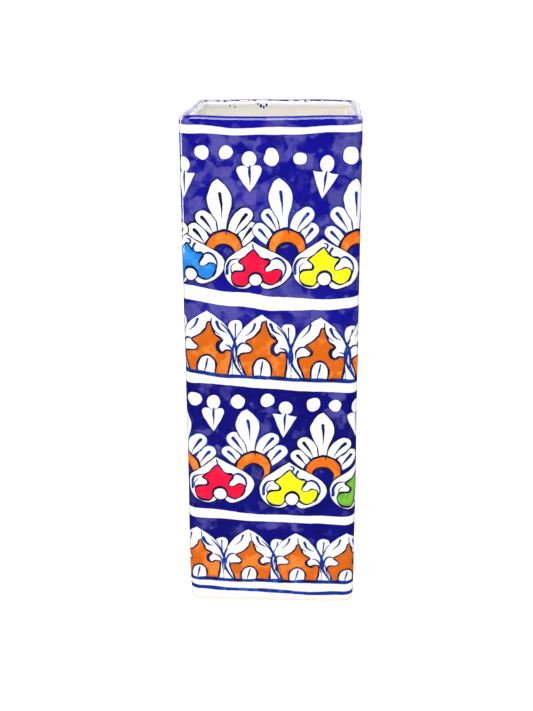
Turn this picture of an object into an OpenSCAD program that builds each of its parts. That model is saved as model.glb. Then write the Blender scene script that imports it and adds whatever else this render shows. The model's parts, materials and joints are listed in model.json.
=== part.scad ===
// Square talavera vase: a slab-built terracotta body with a rolled lip, white tin glaze
// inside and out, and fired paint in four bands. Millimetres, +Z up. The origin is the
// centre of the foot, on the surface that the vase stands on, and the front faces -Y.

/* [Body] */
// Outside width of the square body, over the glaze
vase_w = 103; // [100:0.5:108]
// Height from the foot to the top of the glazed lip
vase_h = 303; // [301:0.5:320]
// Outside radius of the four upright corners
corner_r = 7; // [7:0.5:9]
// Thickness of the clay walls
wall_t = 5.2; // [4.4:0.1:5.4]
// Thickness of the floor slab
floor_t = 7; // [5:0.5:10]
// Radius of the rounded edge under the foot
foot_r = 2.5; // [1.5:0.25:3]
// Height of the lip coil, from its seat on the walls to its rounded top
lip_h = 13; // [10:0.5:16]
// Radius of the clay coils smoothed into the inside corners
seam_r = 5; // [3:0.5:7]

/* [Glaze and paint] */
// Thickness of the white tin glaze
glaze_t = 0.5; // [0.3:0.1:0.6]
// Thickness of the fired paint
paint_t = 0.2; // [0.1:0.05:0.25]
// How far the rim paint runs down the outside, from where the lip starts to round
rim_drop_out = 2.6; // [1:0.2:4]
// How far the rim paint runs down the inside
rim_drop_in = 1.2; // [0.6:0.2:3]

/* [Painted bands] */
// Height of the lower edge of the upper flower band
upper_flower_z = 201.5; // [200:0.5:203]
// Height of the upper flower band
upper_flower_h = 91.5; // [89:0.5:92]
// Height of the lower edge of the upper arch band
upper_arch_z = 151; // [150:0.5:152]
// Height of the upper arch band
upper_arch_h = 43.5; // [42:0.5:46]
// Height of the lower edge of the lower flower band
lower_flower_z = 62; // [61:0.5:63]
// Height of the lower flower band
lower_flower_h = 81.5; // [80:0.5:83]
// Height of the lower edge of the lower arch band
lower_arch_z = 15; // [14:0.5:16]
// Height of the lower arch band
lower_arch_h = 41; // [39:0.5:43]
// Width of the painted base line that each row of arches stands on
base_line = 2; // [1.5:0.25:2.5]
// Height of the line near the foot
foot_line_z = 6.8; // [5:0.2:8]
// Width of the line near the foot
foot_line_w = 1.5; // [1:0.1:2]

/* [Repeats round the body] */
// Blossoms in the upper flower band
upper_flowers = 10; // [10, 11]
// Blossoms in the lower flower band
lower_flowers = 9; // [8, 9, 10]
// Arches in the upper arch band
upper_arches = 12; // [11, 12]
// Arches in the lower arch band
lower_arches = 13; // [12, 13]

/* [Hidden] */
$fn = 96;

clay = "#c58a63";
white = "#f6f4ee";
cream = "#efe6d4";
cobalt = "#1c1c9c";
orange = "#e5761c";
navy = "#161b3d";

// Clay under the glaze
clay_w = vase_w - 2 * glaze_t;
clay_r = corner_r - glaze_t;
inner_w = clay_w - 2 * wall_t;
// The half-round lip: its centre line, its corner radius there, and where it starts
lip_mid_w = clay_w - wall_t;
lip_mid_r = clay_r - wall_t / 2;
lip_inner_r = lip_mid_r - wall_t / 2;
lip_z = vase_h - glaze_t - wall_t / 2;
seat_z = vase_h - lip_h;
// Length round the painted wall, in quarters that start at the middle of each face
corner_arc = corner_r * PI / 2;
quarter = vase_w - 2 * corner_r + corner_arc;
girth = 4 * quarter;
// Where the first motif of each row stands, along the wall from the middle of the front
upper_flower_start = -47;
lower_flower_start = -32.4;
upper_arch_start = -38;
lower_arch_start = -45.5;
// The motifs below are drawn for rows of this pitch, and follow the pitch of their row
flower_pitch = 42;
arch_pitch = 33.3;
// Moon of a palmette: radii of the orange, and the centre's height over the band's lower edge
moon_r = 10.3;
moon_hole_r = 5.6;
moon_z = 25.5;
stroke_w = 0.7;
// Heights of a flower row's motifs over its band's lower edge
blossom_z = 3.5;
drop_z = 57;
dot_z = 79;
dot_r = 4;
dot_spread = 7.2;
row_squash = lower_flower_h / upper_flower_h;
gap = 0.01;

// Right halves of the motifs, from the top down: [sideways, up]
blossom_half = [[0, 28.5], [5, 23.8], [12, 19], [17.4, 13.5], [18.6, 9], [16.8, 4],
    [12, 0.8], [7, 0], [3, 1.6]];
blossom_fill_half = [[0, 22.5], [2.2, 19], [5, 17], [8.3, 16], [6.6, 14], [5.8, 12],
    [6.8, 10.6], [9.6, 10.6], [12.6, 11.4], [14.4, 10], [13.8, 6.4], [11.6, 3.4],
    [8.6, 2.6], [5.8, 3.2], [4.6, 5.4], [3.4, 8.2], [1.4, 9.6]];
palmette_half = [[0, 40], [3.5, 36.5], [6.8, 31], [6.4, 26], [3.6, 20.5], [2.6, 17.5],
    [5.5, 20.5], [10, 22.6], [13.6, 21], [13.4, 17.2], [9.6, 13.2], [12.5, 14.4],
    [16.5, 14.4], [18.8, 11.8], [17.6, 7.8], [13.4, 3.2], [12, 0], [11.4, -4.5]];
drop_half = [[0, 24.6], [3.2, 23.4], [3.9, 20.4], [2.4, 17.2], [2.2, 15], [4.6, 15.4],
    [6.4, 13.6], [5.6, 10.5], [2.5, 5], [0, 0]];
arch_half = [[0, 36], [8.4, 29.2], [15, 20.8], [16.1, 15.4], [16.1, 0]];
gate_half = [[0, 32], [2, 26.5], [5, 22.5], [8.6, 20.7], [6.4, 18], [6.2, 15.4],
    [8.6, 13.4], [12.8, 12.4], [12.4, 6], [10.8, 0.1], [5.2, 0.1], [5, 6], [3, 9.2]];
petal_vein_half = [[0, 31.5], [0.7, 29.5], [0.9, 24], [0, 14]];
drop_vein_half = [[0, 15.5], [0.7, 13.5], [0.7, 9], [0, 4]];

function mirrored(half) = concat(half,
    [for (i = [len(half) - 1:-1:0]) if (half[i].x > 0) [-half[i].x, half[i].y]]);
function stretched(points, sx, sz) = [for (p = points) [p.x * sx, p.y * sz]];
function arc(r, from, to, steps) =
    [for (i = [0:steps]) let (a = from + (to - from) * i / steps) r * [cos(a), sin(a)]];
function ring_sector(r_in, r_out) = concat(arc(r_out, -15, 195, 18), arc(r_in, 195, -15, 12));
function disc_and_neck(r) = concat(arc(r, -40, 220, 14), [[-0.7 * r, -2 * r], [0.7 * r, -2 * r]]);
// Distance sideways, seen square on to a corner, of a point s along the wall from it
function seen_from_corner(s) = abs(s) <= corner_arc / 2
    ? corner_r * sin(s / corner_r * 180 / PI)
    : sign(s) * (corner_r + (abs(s) - corner_arc / 2)) * sin(45);
function blossom_s(i, start, count) = start + i * girth / count;
function palmette_s(i, start, count) = start + (i + 0.5) * girth / count;

module rounded_square(w, r) {
    square([w, w - 2 * r], center = true);
    square([w - 2 * r, w], center = true);
    for (x = [-1, 1], y = [-1, 1])
        translate([x, y] * (w / 2 - r)) circle(r);
}

// A square block with rounded upright corners, between two heights
module block(w, r, z0, z1) {
    translate([0, 0, z0]) linear_extrude(z1 - z0) rounded_square(w, r);
}

// A square tub with rounded corners whose lowest edge is rounded too
module tub(w, r, z0, z1) {
    run = w - 2 * r;
    block(w, r, z0 + r, z1);
    translate([-run / 2, -run / 2, z0]) cube([run, run, r + gap]);
    for (k = [0:3]) rotate(90 * k) {
        translate([0, run / 2, z0 + r]) rotate([0, 90, 0]) cylinder(h = run, r = r, center = true);
        translate([run / 2, run / 2, z0 + r]) sphere(r);
    }
}

// A coat round the outside of the body, between two distances from the glaze's surface
module coat(t0, t1, z0, z1) {
    difference() {
        block(vase_w + 2 * t1, corner_r + t1, z0, z1);
        block(vase_w + 2 * t0, corner_r + t0, z0 - 1, z1 + 1);
    }
}

// Half-round section of the lip, between two radii
module lip_section(t0, t1) {
    difference() {
        circle(t1);
        if (t0 > 0) circle(t0);
        translate([-2 * t1, -4 * t1]) square(4 * t1);
    }
}

// The half-round section taken once round the mouth
module lip_sweep(t0, t1) {
    run = lip_mid_w - 2 * lip_mid_r;
    translate([0, 0, lip_z]) for (k = [0:3]) rotate(90 * k) {
        translate([run / 2, run / 2, 0])
            rotate_extrude(angle = 90) translate([lip_mid_r, 0]) lip_section(t0, t1);
        translate([lip_mid_w / 2, 0, 0])
            rotate([90, 0, 0]) linear_extrude(run, center = true) lip_section(t0, t1);
    }
}

// A motif taken straight through the coats, square to the wall or, near a corner, to the corner
module through(points, s, z) {
    corner = floor(s / quarter);
    from_corner = s - (corner + 0.5) * quarter;
    reach = max([for (p = points) abs(p.x)]);
    at_corner = abs(from_corner) < reach + corner_arc / 2;
    side = round(s / quarter);
    outline = [for (p = points) [at_corner ? seen_from_corner(from_corner + p.x)
        : s - side * quarter + p.x, p.y]];
    depth = at_corner ? 0.37 * vase_w : vase_w / 2 - 3;
    length = at_corner ? 0.4 * vase_w : 6;
    rotate(at_corner ? 45 + 90 * corner : 90 * side)
        translate([0, -depth, z]) rotate([90, 0, 0]) linear_extrude(length) polygon(outline);
}

// White shapes left in a flower band: palmettes, blossoms, drops and dots
module flower_reserves(z, start, count, squash) {
    sx = girth / count / flower_pitch;
    for (i = [0:count - 1]) {
        b = blossom_s(i, start, count);
        p = palmette_s(i, start, count);
        difference() {
            through(stretched(mirrored(palmette_half), sx, squash), p, z + moon_z);
            through(disc_and_neck(moon_hole_r - stroke_w), p, z + moon_z);
        }
        through(stretched(mirrored(blossom_half), sx, 1), b, z + blossom_z);
        through(stretched(mirrored(drop_half), sx, squash), b, z + drop_z * squash);
        for (side = [-1, 1])
            through(arc(dot_r, 15, 345, 11), p + side * dot_spread * sx, z + dot_z * squash);
    }
}

module flower_ground(z, h, start, count, squash) {
    color(cobalt) difference() {
        coat(0, paint_t, z, z + h);
        flower_reserves(z, start, count, squash);
    }
}

// Cobalt over a row of pointed white arches, with the line that they stand on
module arch_ground(z, h, start, count, sz) {
    sx = girth / count / arch_pitch;
    color(cobalt) difference() {
        coat(0, paint_t, z, z + h);
        for (i = [0:count - 1])
            through(stretched(mirrored(arch_half), sx, sz), start + i * girth / count,
                z + base_line);
    }
}

// Coloured hearts of the blossoms whose number fits one colour of the cycle
module blossoms(which) {
    intersection() {
        coat(0, paint_t, lower_flower_z, upper_flower_z + upper_flower_h);
        union() {
            for (i = [0:upper_flowers - 1]) if (i % 4 == which)
                through(stretched(mirrored(blossom_fill_half), girth / upper_flowers
                    / flower_pitch, 1), blossom_s(i, upper_flower_start, upper_flowers),
                    upper_flower_z + blossom_z);
            for (i = [0:lower_flowers - 1]) if ((i == 8 ? 2 : (i + 1) % 4) == which)
                through(stretched(mirrored(blossom_fill_half), girth / lower_flowers
                    / flower_pitch, 1), blossom_s(i, lower_flower_start, lower_flowers),
                    lower_flower_z + blossom_z);
        }
    }
}

// Bowed shapes that stand over the blossoms of one row, cut where the blossoms cover them
module moon_row(r_in, r_out, z, start, count) {
    sx = girth / count / flower_pitch;
    difference() {
        for (i = [0:count - 1])
            through(ring_sector(r_in, r_out), palmette_s(i, start, count), z + moon_z);
        for (i = [0:count - 1])
            through(stretched(mirrored(blossom_half), sx, 1), blossom_s(i, start, count),
                z + blossom_z);
    }
}

// Dark brush strokes of one flower row: round the moons, and up the petals and drops
module stroke_row(z, start, count, squash) {
    moon_row(moon_r, moon_r + stroke_w, z, start, count);
    moon_row(moon_hole_r - stroke_w, moon_hole_r, z, start, count);
    for (i = [0:count - 1]) {
        through(stretched(mirrored(petal_vein_half), 1, squash),
            palmette_s(i, start, count), z + moon_z);
        through(stretched(mirrored(drop_vein_half), 1, squash),
            blossom_s(i, start, count), z + drop_z * squash);
    }
}

module gate_row(z, start, count, sz) {
    sx = girth / count / arch_pitch;
    for (i = [0:count - 1])
        through(stretched(mirrored(gate_half), sx, sz), start + i * girth / count,
            z + base_line);
}

module wall_slab(side) {
    color(clay) rotate(90 * side) intersection() {
        difference() {
            block(clay_w, clay_r, floor_t, seat_z);
            translate([-inner_w / 2, -inner_w / 2, floor_t - 1])
                cube([inner_w, inner_w, vase_h]);
        }
        linear_extrude(vase_h)
            polygon([[0, 0], [-vase_w, -vase_w], [vase_w, -vase_w]]);
    }
}

module seam_coil(corner) {
    color(clay) rotate(90 * corner) difference() {
        translate([inner_w / 2 - seam_r, -inner_w / 2, floor_t + seam_r])
            cube([seam_r, seam_r, seat_z - floor_t - seam_r]);
        translate([inner_w / 2 - seam_r, seam_r - inner_w / 2, floor_t])
            cylinder(h = vase_h, r = seam_r);
    }
}

module floor_slab() {
    run = clay_w - 2 * clay_r;
    edge = clay_w / 2 - foot_r;
    color(clay) {
        block(clay_w, clay_r, foot_r, floor_t);
        block(clay_w - 2 * foot_r, clay_r - foot_r, 0, foot_r);
        for (k = [0:3]) rotate(90 * k) {
            translate([0, edge, foot_r]) rotate([0, 90, 0])
                cylinder(h = run, r = foot_r, center = true);
            translate([run / 2, run / 2, foot_r])
                rotate_extrude(angle = 90) translate([clay_r - foot_r, 0]) circle(foot_r);
        }
    }
}

module front_wall() {
    wall_slab(0);
}

module right_wall() {
    wall_slab(1);
}

module back_wall() {
    wall_slab(2);
}

module left_wall() {
    wall_slab(3);
}

module front_right_seam_coil() {
    seam_coil(0);
}

module back_right_seam_coil() {
    seam_coil(1);
}

module back_left_seam_coil() {
    seam_coil(2);
}

module front_left_seam_coil() {
    seam_coil(3);
}

module floor_coil() {
    color(clay) difference() {
        translate([-inner_w / 2, -inner_w / 2, floor_t]) cube([inner_w, inner_w, seam_r]);
        tub(inner_w, seam_r, floor_t, floor_t + 2 * seam_r);
    }
}

module lip_coil() {
    color(clay) {
        difference() {
            block(clay_w, clay_r, seat_z, lip_z);
            block(inner_w, lip_inner_r, seat_z - 1, lip_z + 1);
        }
        lip_sweep(0, wall_t / 2);
    }
}

module outer_glaze() {
    color(white) coat(-glaze_t, 0, foot_r, lip_z);
}

module inner_glaze() {
    glazed_w = inner_w - 2 * glaze_t;
    color(cream) difference() {
        union() {
            tub(inner_w, seam_r, floor_t, seat_z);
            block(inner_w, lip_inner_r, seat_z, lip_z);
        }
        tub(glazed_w, seam_r - glaze_t, floor_t + glaze_t, seat_z + glaze_t);
        block(glazed_w, lip_inner_r - glaze_t, seat_z + glaze_t, lip_z + 1);
    }
}

module rim_glaze() {
    color(white) lip_sweep(wall_t / 2, wall_t / 2 + glaze_t);
}

module rim_paint() {
    glazed_w = inner_w - 2 * glaze_t;
    glazed_r = lip_inner_r - glaze_t;
    color(cobalt) {
        lip_sweep(wall_t / 2 + glaze_t, wall_t / 2 + glaze_t + paint_t);
        coat(0, paint_t, lip_z - rim_drop_out, lip_z);
        difference() {
            block(glazed_w, glazed_r, lip_z - rim_drop_in, lip_z);
            block(glazed_w - 2 * paint_t, glazed_r - paint_t, lip_z - rim_drop_in - 1, lip_z + 1);
        }
    }
}

module upper_flower_cobalt() {
    flower_ground(upper_flower_z, upper_flower_h, upper_flower_start, upper_flowers, 1);
}

module lower_flower_cobalt() {
    flower_ground(lower_flower_z, lower_flower_h, lower_flower_start, lower_flowers, row_squash);
}

module upper_arch_cobalt() {
    arch_ground(upper_arch_z, upper_arch_h, upper_arch_start, upper_arches, 1);
}

module lower_arch_cobalt() {
    arch_ground(lower_arch_z, lower_arch_h, lower_arch_start, lower_arches, 0.86);
}

module foot_line() {
    color(cobalt) coat(0, paint_t, foot_line_z, foot_line_z + foot_line_w);
}

module orange_moons() {
    color(orange) intersection() {
        coat(0, paint_t, lower_flower_z, upper_flower_z + upper_flower_h);
        union() {
            moon_row(moon_hole_r, moon_r, upper_flower_z, upper_flower_start, upper_flowers);
            moon_row(moon_hole_r, moon_r, lower_flower_z, lower_flower_start, lower_flowers);
        }
    }
}

module orange_gates() {
    color(orange) intersection() {
        coat(0, paint_t, lower_arch_z, upper_arch_z + upper_arch_h);
        union() {
            gate_row(upper_arch_z, upper_arch_start, upper_arches, 1);
            gate_row(lower_arch_z, lower_arch_start, lower_arches, 0.8);
        }
    }
}

module blue_blossoms() {
    color("#3c98de") blossoms(0);
}

module red_blossoms() {
    color("#e6163c") blossoms(1);
}

module yellow_blossoms() {
    color("#f6ec0c") blossoms(2);
}

module green_blossoms() {
    color("#62ac34") blossoms(3);
}

module navy_strokes() {
    color(navy) intersection() {
        coat(0, paint_t, lower_flower_z, upper_flower_z + upper_flower_h);
        union() {
            stroke_row(upper_flower_z, upper_flower_start, upper_flowers, 1);
            stroke_row(lower_flower_z, lower_flower_start, lower_flowers, row_squash);
        }
    }
}

floor_slab();
front_wall();
right_wall();
back_wall();
left_wall();
front_right_seam_coil();
back_right_seam_coil();
back_left_seam_coil();
front_left_seam_coil();
floor_coil();
lip_coil();
outer_glaze();
inner_glaze();
rim_glaze();
rim_paint();
upper_flower_cobalt();
upper_arch_cobalt();
lower_flower_cobalt();
lower_arch_cobalt();
foot_line();
orange_moons();
orange_gates();
red_blossoms();
yellow_blossoms();
blue_blossoms();
green_blossoms();
navy_strokes();
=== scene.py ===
"""Square talavera vase: glaze, hand-painted bands and studio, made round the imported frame.

The wall is painted flat first. Every motif is drawn in millimetres on a strip as long as the
vase is round, in the order in which a painter lays it down. One Geometry Nodes group, which
the glaze and the paint share, then wraps each flat piece on the rounded square body.
"""
import functools
import json
import math
import random

import bmesh
import bpy
import numpy as np
from bpy.props import FloatProperty, FloatVectorProperty, PointerProperty
from mathutils import Matrix, Vector, noise
from mathutils.geometry import delaunay_2d_cdt
from mathutils.kdtree import KDTree


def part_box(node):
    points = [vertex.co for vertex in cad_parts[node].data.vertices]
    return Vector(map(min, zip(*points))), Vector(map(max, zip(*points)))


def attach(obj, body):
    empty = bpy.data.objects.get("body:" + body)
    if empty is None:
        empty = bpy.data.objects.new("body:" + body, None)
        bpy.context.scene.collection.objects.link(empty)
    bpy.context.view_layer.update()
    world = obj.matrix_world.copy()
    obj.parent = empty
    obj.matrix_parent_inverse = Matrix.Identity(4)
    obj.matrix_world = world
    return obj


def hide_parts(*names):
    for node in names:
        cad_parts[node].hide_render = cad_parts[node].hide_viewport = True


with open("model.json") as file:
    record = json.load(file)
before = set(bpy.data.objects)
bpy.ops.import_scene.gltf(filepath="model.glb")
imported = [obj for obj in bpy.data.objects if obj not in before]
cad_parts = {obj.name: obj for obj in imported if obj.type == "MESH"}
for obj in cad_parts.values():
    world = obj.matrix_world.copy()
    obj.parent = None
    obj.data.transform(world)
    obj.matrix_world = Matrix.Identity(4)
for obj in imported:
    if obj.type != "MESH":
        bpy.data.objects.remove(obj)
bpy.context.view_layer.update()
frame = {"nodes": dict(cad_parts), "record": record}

bl_info = {
    "name": "Talavera Vase",
    "version": (1, 0, 0),
    "blender": (4, 5, 0),
    "location": "View3D > Sidebar > Vase",
    "description": "Glazes and paints a square slab-built vase round its packed frame",
    "category": "Add Mesh",
}

MM = 0.001
CLAY_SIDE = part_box("floor_slab")[1].x / MM
GLAZE_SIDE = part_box("outer_glaze")[1].x / MM
FOOT_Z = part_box("outer_glaze")[0].z / MM
LIP_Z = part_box("rim_glaze")[0].z / MM
LIP_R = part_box("rim_glaze")[1].z / MM - LIP_Z
INSIDE = GLAZE_SIDE - 2 * LIP_R
FLOOR_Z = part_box("inner_glaze")[0].z / MM + GLAZE_SIDE - CLAY_SIDE

# The flat strip: s runs round the wall from the middle of the front, to both sides.
CORNER_R = 7.0
FLAT = GLAZE_SIDE - CORNER_R
QUARTER = 2 * FLAT + CORNER_R * math.pi / 2
GIRTH = 4 * QUARTER
SEAM = GIRTH / 2
OVER_LIP = LIP_Z + math.pi * LIP_R
CREST = LIP_Z + 7.3  # where the paint of the rim ends, away from the front

WELD = 0.001  # points of the painting nearer than this become one, in millimetres
SOFT_EDGE = 1.4  # how far in from its edge a paint comes to its full height, in millimetres
SEAM_WELD = 4e-6  # joins the two ends of the strip where they meet, in metres

# How many waves of each kind the noise has in a metre of wall.
SWELLS, RIPPLES, LIP_WAVES = 9.0, 38.0, 24.0

# Where the camera stands, in metres, and how far it is turned, tipped and rolled, in degrees.
EYE = (0.0314, -0.6984, 0.3701)
EYE_TURN, EYE_TIP, EYE_ROLL = 3.0, 17.67, -0.26


# ------------------------------------------------------------------ settings


def colour(name, value, about):
    return FloatVectorProperty(name=name, description=about, subtype="COLOR", size=3,
                               min=0, max=1, default=value)


def length(name, value, about):
    return FloatProperty(name=name, description=about, default=value, min=0, unit="LENGTH",
                         precision=5)


class VaseBody(bpy.types.PropertyGroup):
    coat: length("Coat", 0.00045, "Thickness of the glaze")
    swell: length("Swell", 0.0009, "How far the hand-pressed wall swells out")
    ripple: length("Ripple", 0.00022, "Height of the small ripples in the wall")
    lip_rise: length("Lip rise", 0.0011, "How far the hand-rolled lip rises and falls")
    wander: length("Wander", 0.00055, "How far the painter's hand wanders off a drawn line")


class VaseColours(bpy.types.PropertyGroup):
    cobalt: colour("Cobalt", (0.006, 0.005, 0.27), "Thick cobalt")
    cobalt_wash: colour("Cobalt wash", (0.085, 0.075, 0.36), "Cobalt where the brush ran thin")
    line_blue: colour("Line blue", (0.010, 0.040, 0.36), "Blue of the drawn lines")
    navy: colour("Navy", (0.006, 0.010, 0.045), "Outlines round the colours")
    orange: colour("Orange", (0.82, 0.155, 0.006), "Thick orange")
    orange_wash: colour("Orange wash", (0.93, 0.245, 0.03), "Orange where the brush ran thin")
    red: colour("Red", (0.93, 0.004, 0.042), "Red enamel")
    yellow: colour("Yellow", (0.97, 0.93, 0.002), "Yellow enamel")
    sky: colour("Sky blue", (0.018, 0.22, 0.70), "Sky blue enamel")
    green: colour("Green", (0.13, 0.42, 0.03), "Green enamel")
    white: colour("White glaze", (0.90, 0.885, 0.855), "Tin glaze")
    cream: colour("Cream glaze", (0.95, 0.92, 0.86), "Thin glaze of the inside")
    clay: colour("Clay", (0.56, 0.29, 0.17), "Fired terracotta")


class VaseStage(bpy.types.PropertyGroup):
    sky: FloatProperty(name="Sky", description="Strength of the even light", default=0.42, min=0)
    key: FloatProperty(name="Key", description="Power of the big soft light, in watts",
                       default=3.6, min=0)
    lens: FloatProperty(name="Lens", description="Focal length of the camera, in millimetres",
                        default=58.1, min=20, max=200)


def setting(name):
    """A length setting of the body, in millimetres."""
    return getattr(bpy.context.scene.vase_body, name) / MM


def colours():
    return bpy.context.scene.vase_colours


# ------------------------------------------------------------ curves and brush


def curve(points, closed=True, corners=(), step=0.8):
    """Smooth line through given points; those numbered in corners stay sharp."""
    count = len(points)
    dots = [Vector(p) for p in points]
    line = []
    for i in range(count if closed else count - 1):
        a, b = dots[i], dots[(i + 1) % count]
        chord = b - a
        before = dots[i - 1] if closed or i else a
        after = dots[(i + 2) % count] if closed or i + 2 < count else b
        leave = chord if i in corners else (b - before).normalized() * chord.length
        arrive = chord if (i + 1) % count in corners else (after - a).normalized() * chord.length
        steps = max(1, round(chord.xy.length / step))
        for k in range(steps):
            t = k / steps
            line.append(a * (1 - t) ** 2 * (1 + 2 * t) + b * t * t * (3 - 2 * t)
                        + leave * t * (1 - t) ** 2 - arrive * t * t * (1 - t))
    if not closed:
        line.append(dots[-1])
    return line


def disc(x, z, radius, tall=1.0):
    """A round dab, or an egg-shaped one."""
    steps = max(10, round(2 * math.pi * radius / 0.75))
    return [Vector((x + radius * math.cos(a), z + radius * tall * math.sin(a)))
            for a in (2 * math.pi * k / steps for k in range(steps))]


def dab(radius, tall, seed):
    """A dot made with one touch of the brush: round, but never quite."""
    return [p * (1 + 0.16 * noise.noise(Vector((p.x / radius, p.y / radius, seed))))
            for p in disc(0, 0, radius, tall)]


def brush(*points, step=0.7):
    """Outline of one brush stroke with round ends, through (x, z, width of the stroke)."""
    line = curve(points, closed=False, step=step)
    left, right = [], []
    for i, p in enumerate(line):
        way = line[min(i + 1, len(line) - 1)].xy - line[max(i - 1, 0)].xy
        side = Vector((-way.y, way.x)).normalized() * max(p.z, 0.14) / 2
        left.append(p.xy + side)
        right.append(p.xy - side)

    def cap(centre, first):
        bits = max(2, round(first.length * math.pi / 0.8))
        return [centre + Matrix.Rotation(math.pi * k / (bits + 1), 2) @ first
                for k in range(1, bits + 1)]

    start, end = line[0].xy, line[-1].xy
    return [*right, *cap(end, right[-1] - end), *reversed(left), *cap(start, left[0] - start)]


def area(points):
    return sum(a.x * b.y - b.x * a.y for a, b in zip(points, points[1:] + points[:1])) / 2


def grown(points, by, unevenness=0.0):
    """A closed outline moved outwards, a little unevenly, as a line round it is drawn."""
    sign = 1 if area(points) > 0 else -1
    out = []
    for i, p in enumerate(points):
        way = points[(i + 1) % len(points)] - points[i - 1]
        side = Vector((way.y, -way.x)).normalized() * sign
        vary = 1 + unevenness * noise.noise(Vector((p.x / 4, p.y / 4, by)))
        out.append(p + side * by * vary)
    return out


def flip(outline):
    return [Vector((-p.x, p.y)) for p in outline]


# ------------------------------------------------------------------- the strip


def on_drum(s, z):
    """A point that stands for a place on the wall, so that noise joins up at the seam."""
    turn = s / SEAM * math.pi
    drum = SEAM / math.pi
    return Vector((drum * math.cos(turn), drum * math.sin(turn), z))


def shake(where):
    """Two smooth noises of a place, the same on every run."""
    return Vector((noise.noise(where), noise.noise(where + Vector((31.4, 17.7, 52.9)))))


def wander(s, z):
    """Where the hand really puts the brush for a drawn place."""
    where = on_drum(s, z)
    reach = setting("wander")
    slow = shake(where / 17) * reach * 1.3
    quick = shake(where / 3.1 + Vector((7, 3, 1))) * reach * 0.35
    calm = min(1, abs(SEAM - abs(s)) / 3)
    return s + (slow.x + quick.x) * calm, z + slow.y + quick.y


def height_at(knots, s):
    """Height of a hand-drawn edge: it eases from knot to knot and joins up at the seam."""
    spots = [(knots[-1][0] - GIRTH, knots[-1][1]), *knots, (knots[0][0] + GIRTH, knots[0][1])]
    s = (s + SEAM) % GIRTH - SEAM if abs(s) > SEAM else s
    for (s0, z0), (s1, z1) in zip(spots, spots[1:]):
        if s <= s1:
            t = (s - s0) / (s1 - s0)
            return z0 + (z1 - z0) * t * t * (3 - 2 * t)
    return spots[-1][1]


class Strip:
    """One painted band, laid out flat: its shapes in the order in which they were painted."""

    def __init__(self, seed, loose=False):
        self.shapes = []
        self.loose = loose  # whether shapes may lie outside the ground
        self.hand = random.Random(seed)
        self.touch = random.Random(seed + 100)

    def lay(self, paint, outline, at=(0, 0), size=(1, 1), tilt=0.0):
        cos, sin = math.cos(tilt), math.sin(tilt)
        placed = []
        for p in outline:
            x, z = p.x * size[0], p.y * size[1]
            placed.append((at[0] + x * cos - z * sin, at[1] + x * sin + z * cos))
        low = min(p[0] for p in placed)
        high = max(p[0] for p in placed)
        for shift in (0, -GIRTH, GIRTH):
            if low + shift < SEAM and high + shift > -SEAM:
                self.shapes.append((paint, [wander(s + shift, z) for s, z in placed]))

    def loosely(self, how):
        """The same place, size and tilt, a little off, as for a stroke brushed in a hurry."""
        nudge = [c + self.touch.uniform(-0.35, 0.35) for c in how["at"]]
        size = [c * self.touch.uniform(0.96, 1.03) for c in how["size"]]
        tilt = how["tilt"] + self.touch.uniform(-0.035, 0.035)
        return {"at": nudge, "size": size, "tilt": tilt}

    def band(self, paint, lower, upper, step=1.6):
        """A band all the way round between two edges. The first one laid is the ground."""
        steps = round(GIRTH / step)
        places = [-SEAM + GIRTH * k / steps for k in range(steps + 1)]
        low = [wander(s, lower(s)) for s in places]
        high = [wander(s, upper(s)) for s in reversed(places)]
        rise = [low[-1][1] + (high[0][1] - low[-1][1]) * k / 20 for k in range(1, 20)]
        right = [(SEAM, z) for z in rise]
        left = [(-SEAM, z) for z in reversed(rise)]
        self.shapes.append((paint, [*low, *right, *high, *left]))


def columns(flat_steps=17, corner_steps=9):
    """Places round the wall where a mesh needs points: they are close at the corners."""
    found = []
    corner = QUARTER - 2 * FLAT
    for side in range(-2, 3):
        middle = side * QUARTER
        found += [middle + FLAT * k / flat_steps for k in range(-flat_steps, flat_steps + 1)]
        found += [middle + FLAT + corner * k / corner_steps for k in range(1, corner_steps)]
    return sorted({round(s, 6) for s in found if abs(s) < SEAM - 0.01} | {-SEAM, SEAM})


def inside(points, outline):
    """Which of the points an outline goes round; the outline may cross itself."""
    x, y = points[:, 0:1], points[:, 1:2]
    a = np.array(outline)
    b = np.roll(a, -1, axis=0)
    cross = (b[:, 0] - a[:, 0]) * (y - a[:, 1]) - (x - a[:, 0]) * (b[:, 1] - a[:, 1])
    up = (a[:, 1] <= y) & (b[:, 1] > y) & (cross > 0)
    down = (a[:, 1] > y) & (b[:, 1] <= y) & (cross < 0)
    return (up.sum(axis=1) - down.sum(axis=1)) != 0


def cut_out(strip, gap=2.6, clear=0.8):
    """Cuts a strip into triangles that each have one paint: the last one laid there."""
    points, edges = [], []
    for _, outline in strip.shapes:
        first = len(points)
        points += outline
        edges += [(first + i, first + (i + 1) % len(outline)) for i in range(len(outline))]
    near = KDTree(len(points))
    for i, (s, z) in enumerate(points):
        near.insert((s, z, 0), i)
    near.balance()
    low = min(z for _, z in points)
    rows = math.ceil((max(z for _, z in points) - low) / gap)
    for s in columns()[1:-1]:
        for z in (low + gap * k for k in range(rows)):
            if near.find((s, z, 0))[2] > clear:
                points.append((s, z))
    found = delaunay_2d_cdt([Vector(p) for p in points], edges, [], 0, WELD, False)
    spots = np.array([(p.x, p.y) for p in found[0]])
    corners = np.array(found[2])
    middles = spots[corners].mean(axis=1)
    top = np.full(len(corners), -1)
    for rank, (_, outline) in enumerate(strip.shapes):
        box = np.array(outline)
        boxed = (middles > box.min(axis=0)) & (middles < box.max(axis=0))
        close = np.flatnonzero(boxed.all(axis=1))
        within = close[inside(middles[close], outline)]
        if rank == 0 or strip.loose:
            top[within] = rank
        else:
            top[within[top[within] >= 0]] = rank
    names = [paint for paint, _ in strip.shapes]
    patches = {}
    for paint in set(names):
        mine = np.isin(top, [k for k, name in enumerate(names) if name == paint])
        patches[paint] = (spots, corners[mine])
    return patches


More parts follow.
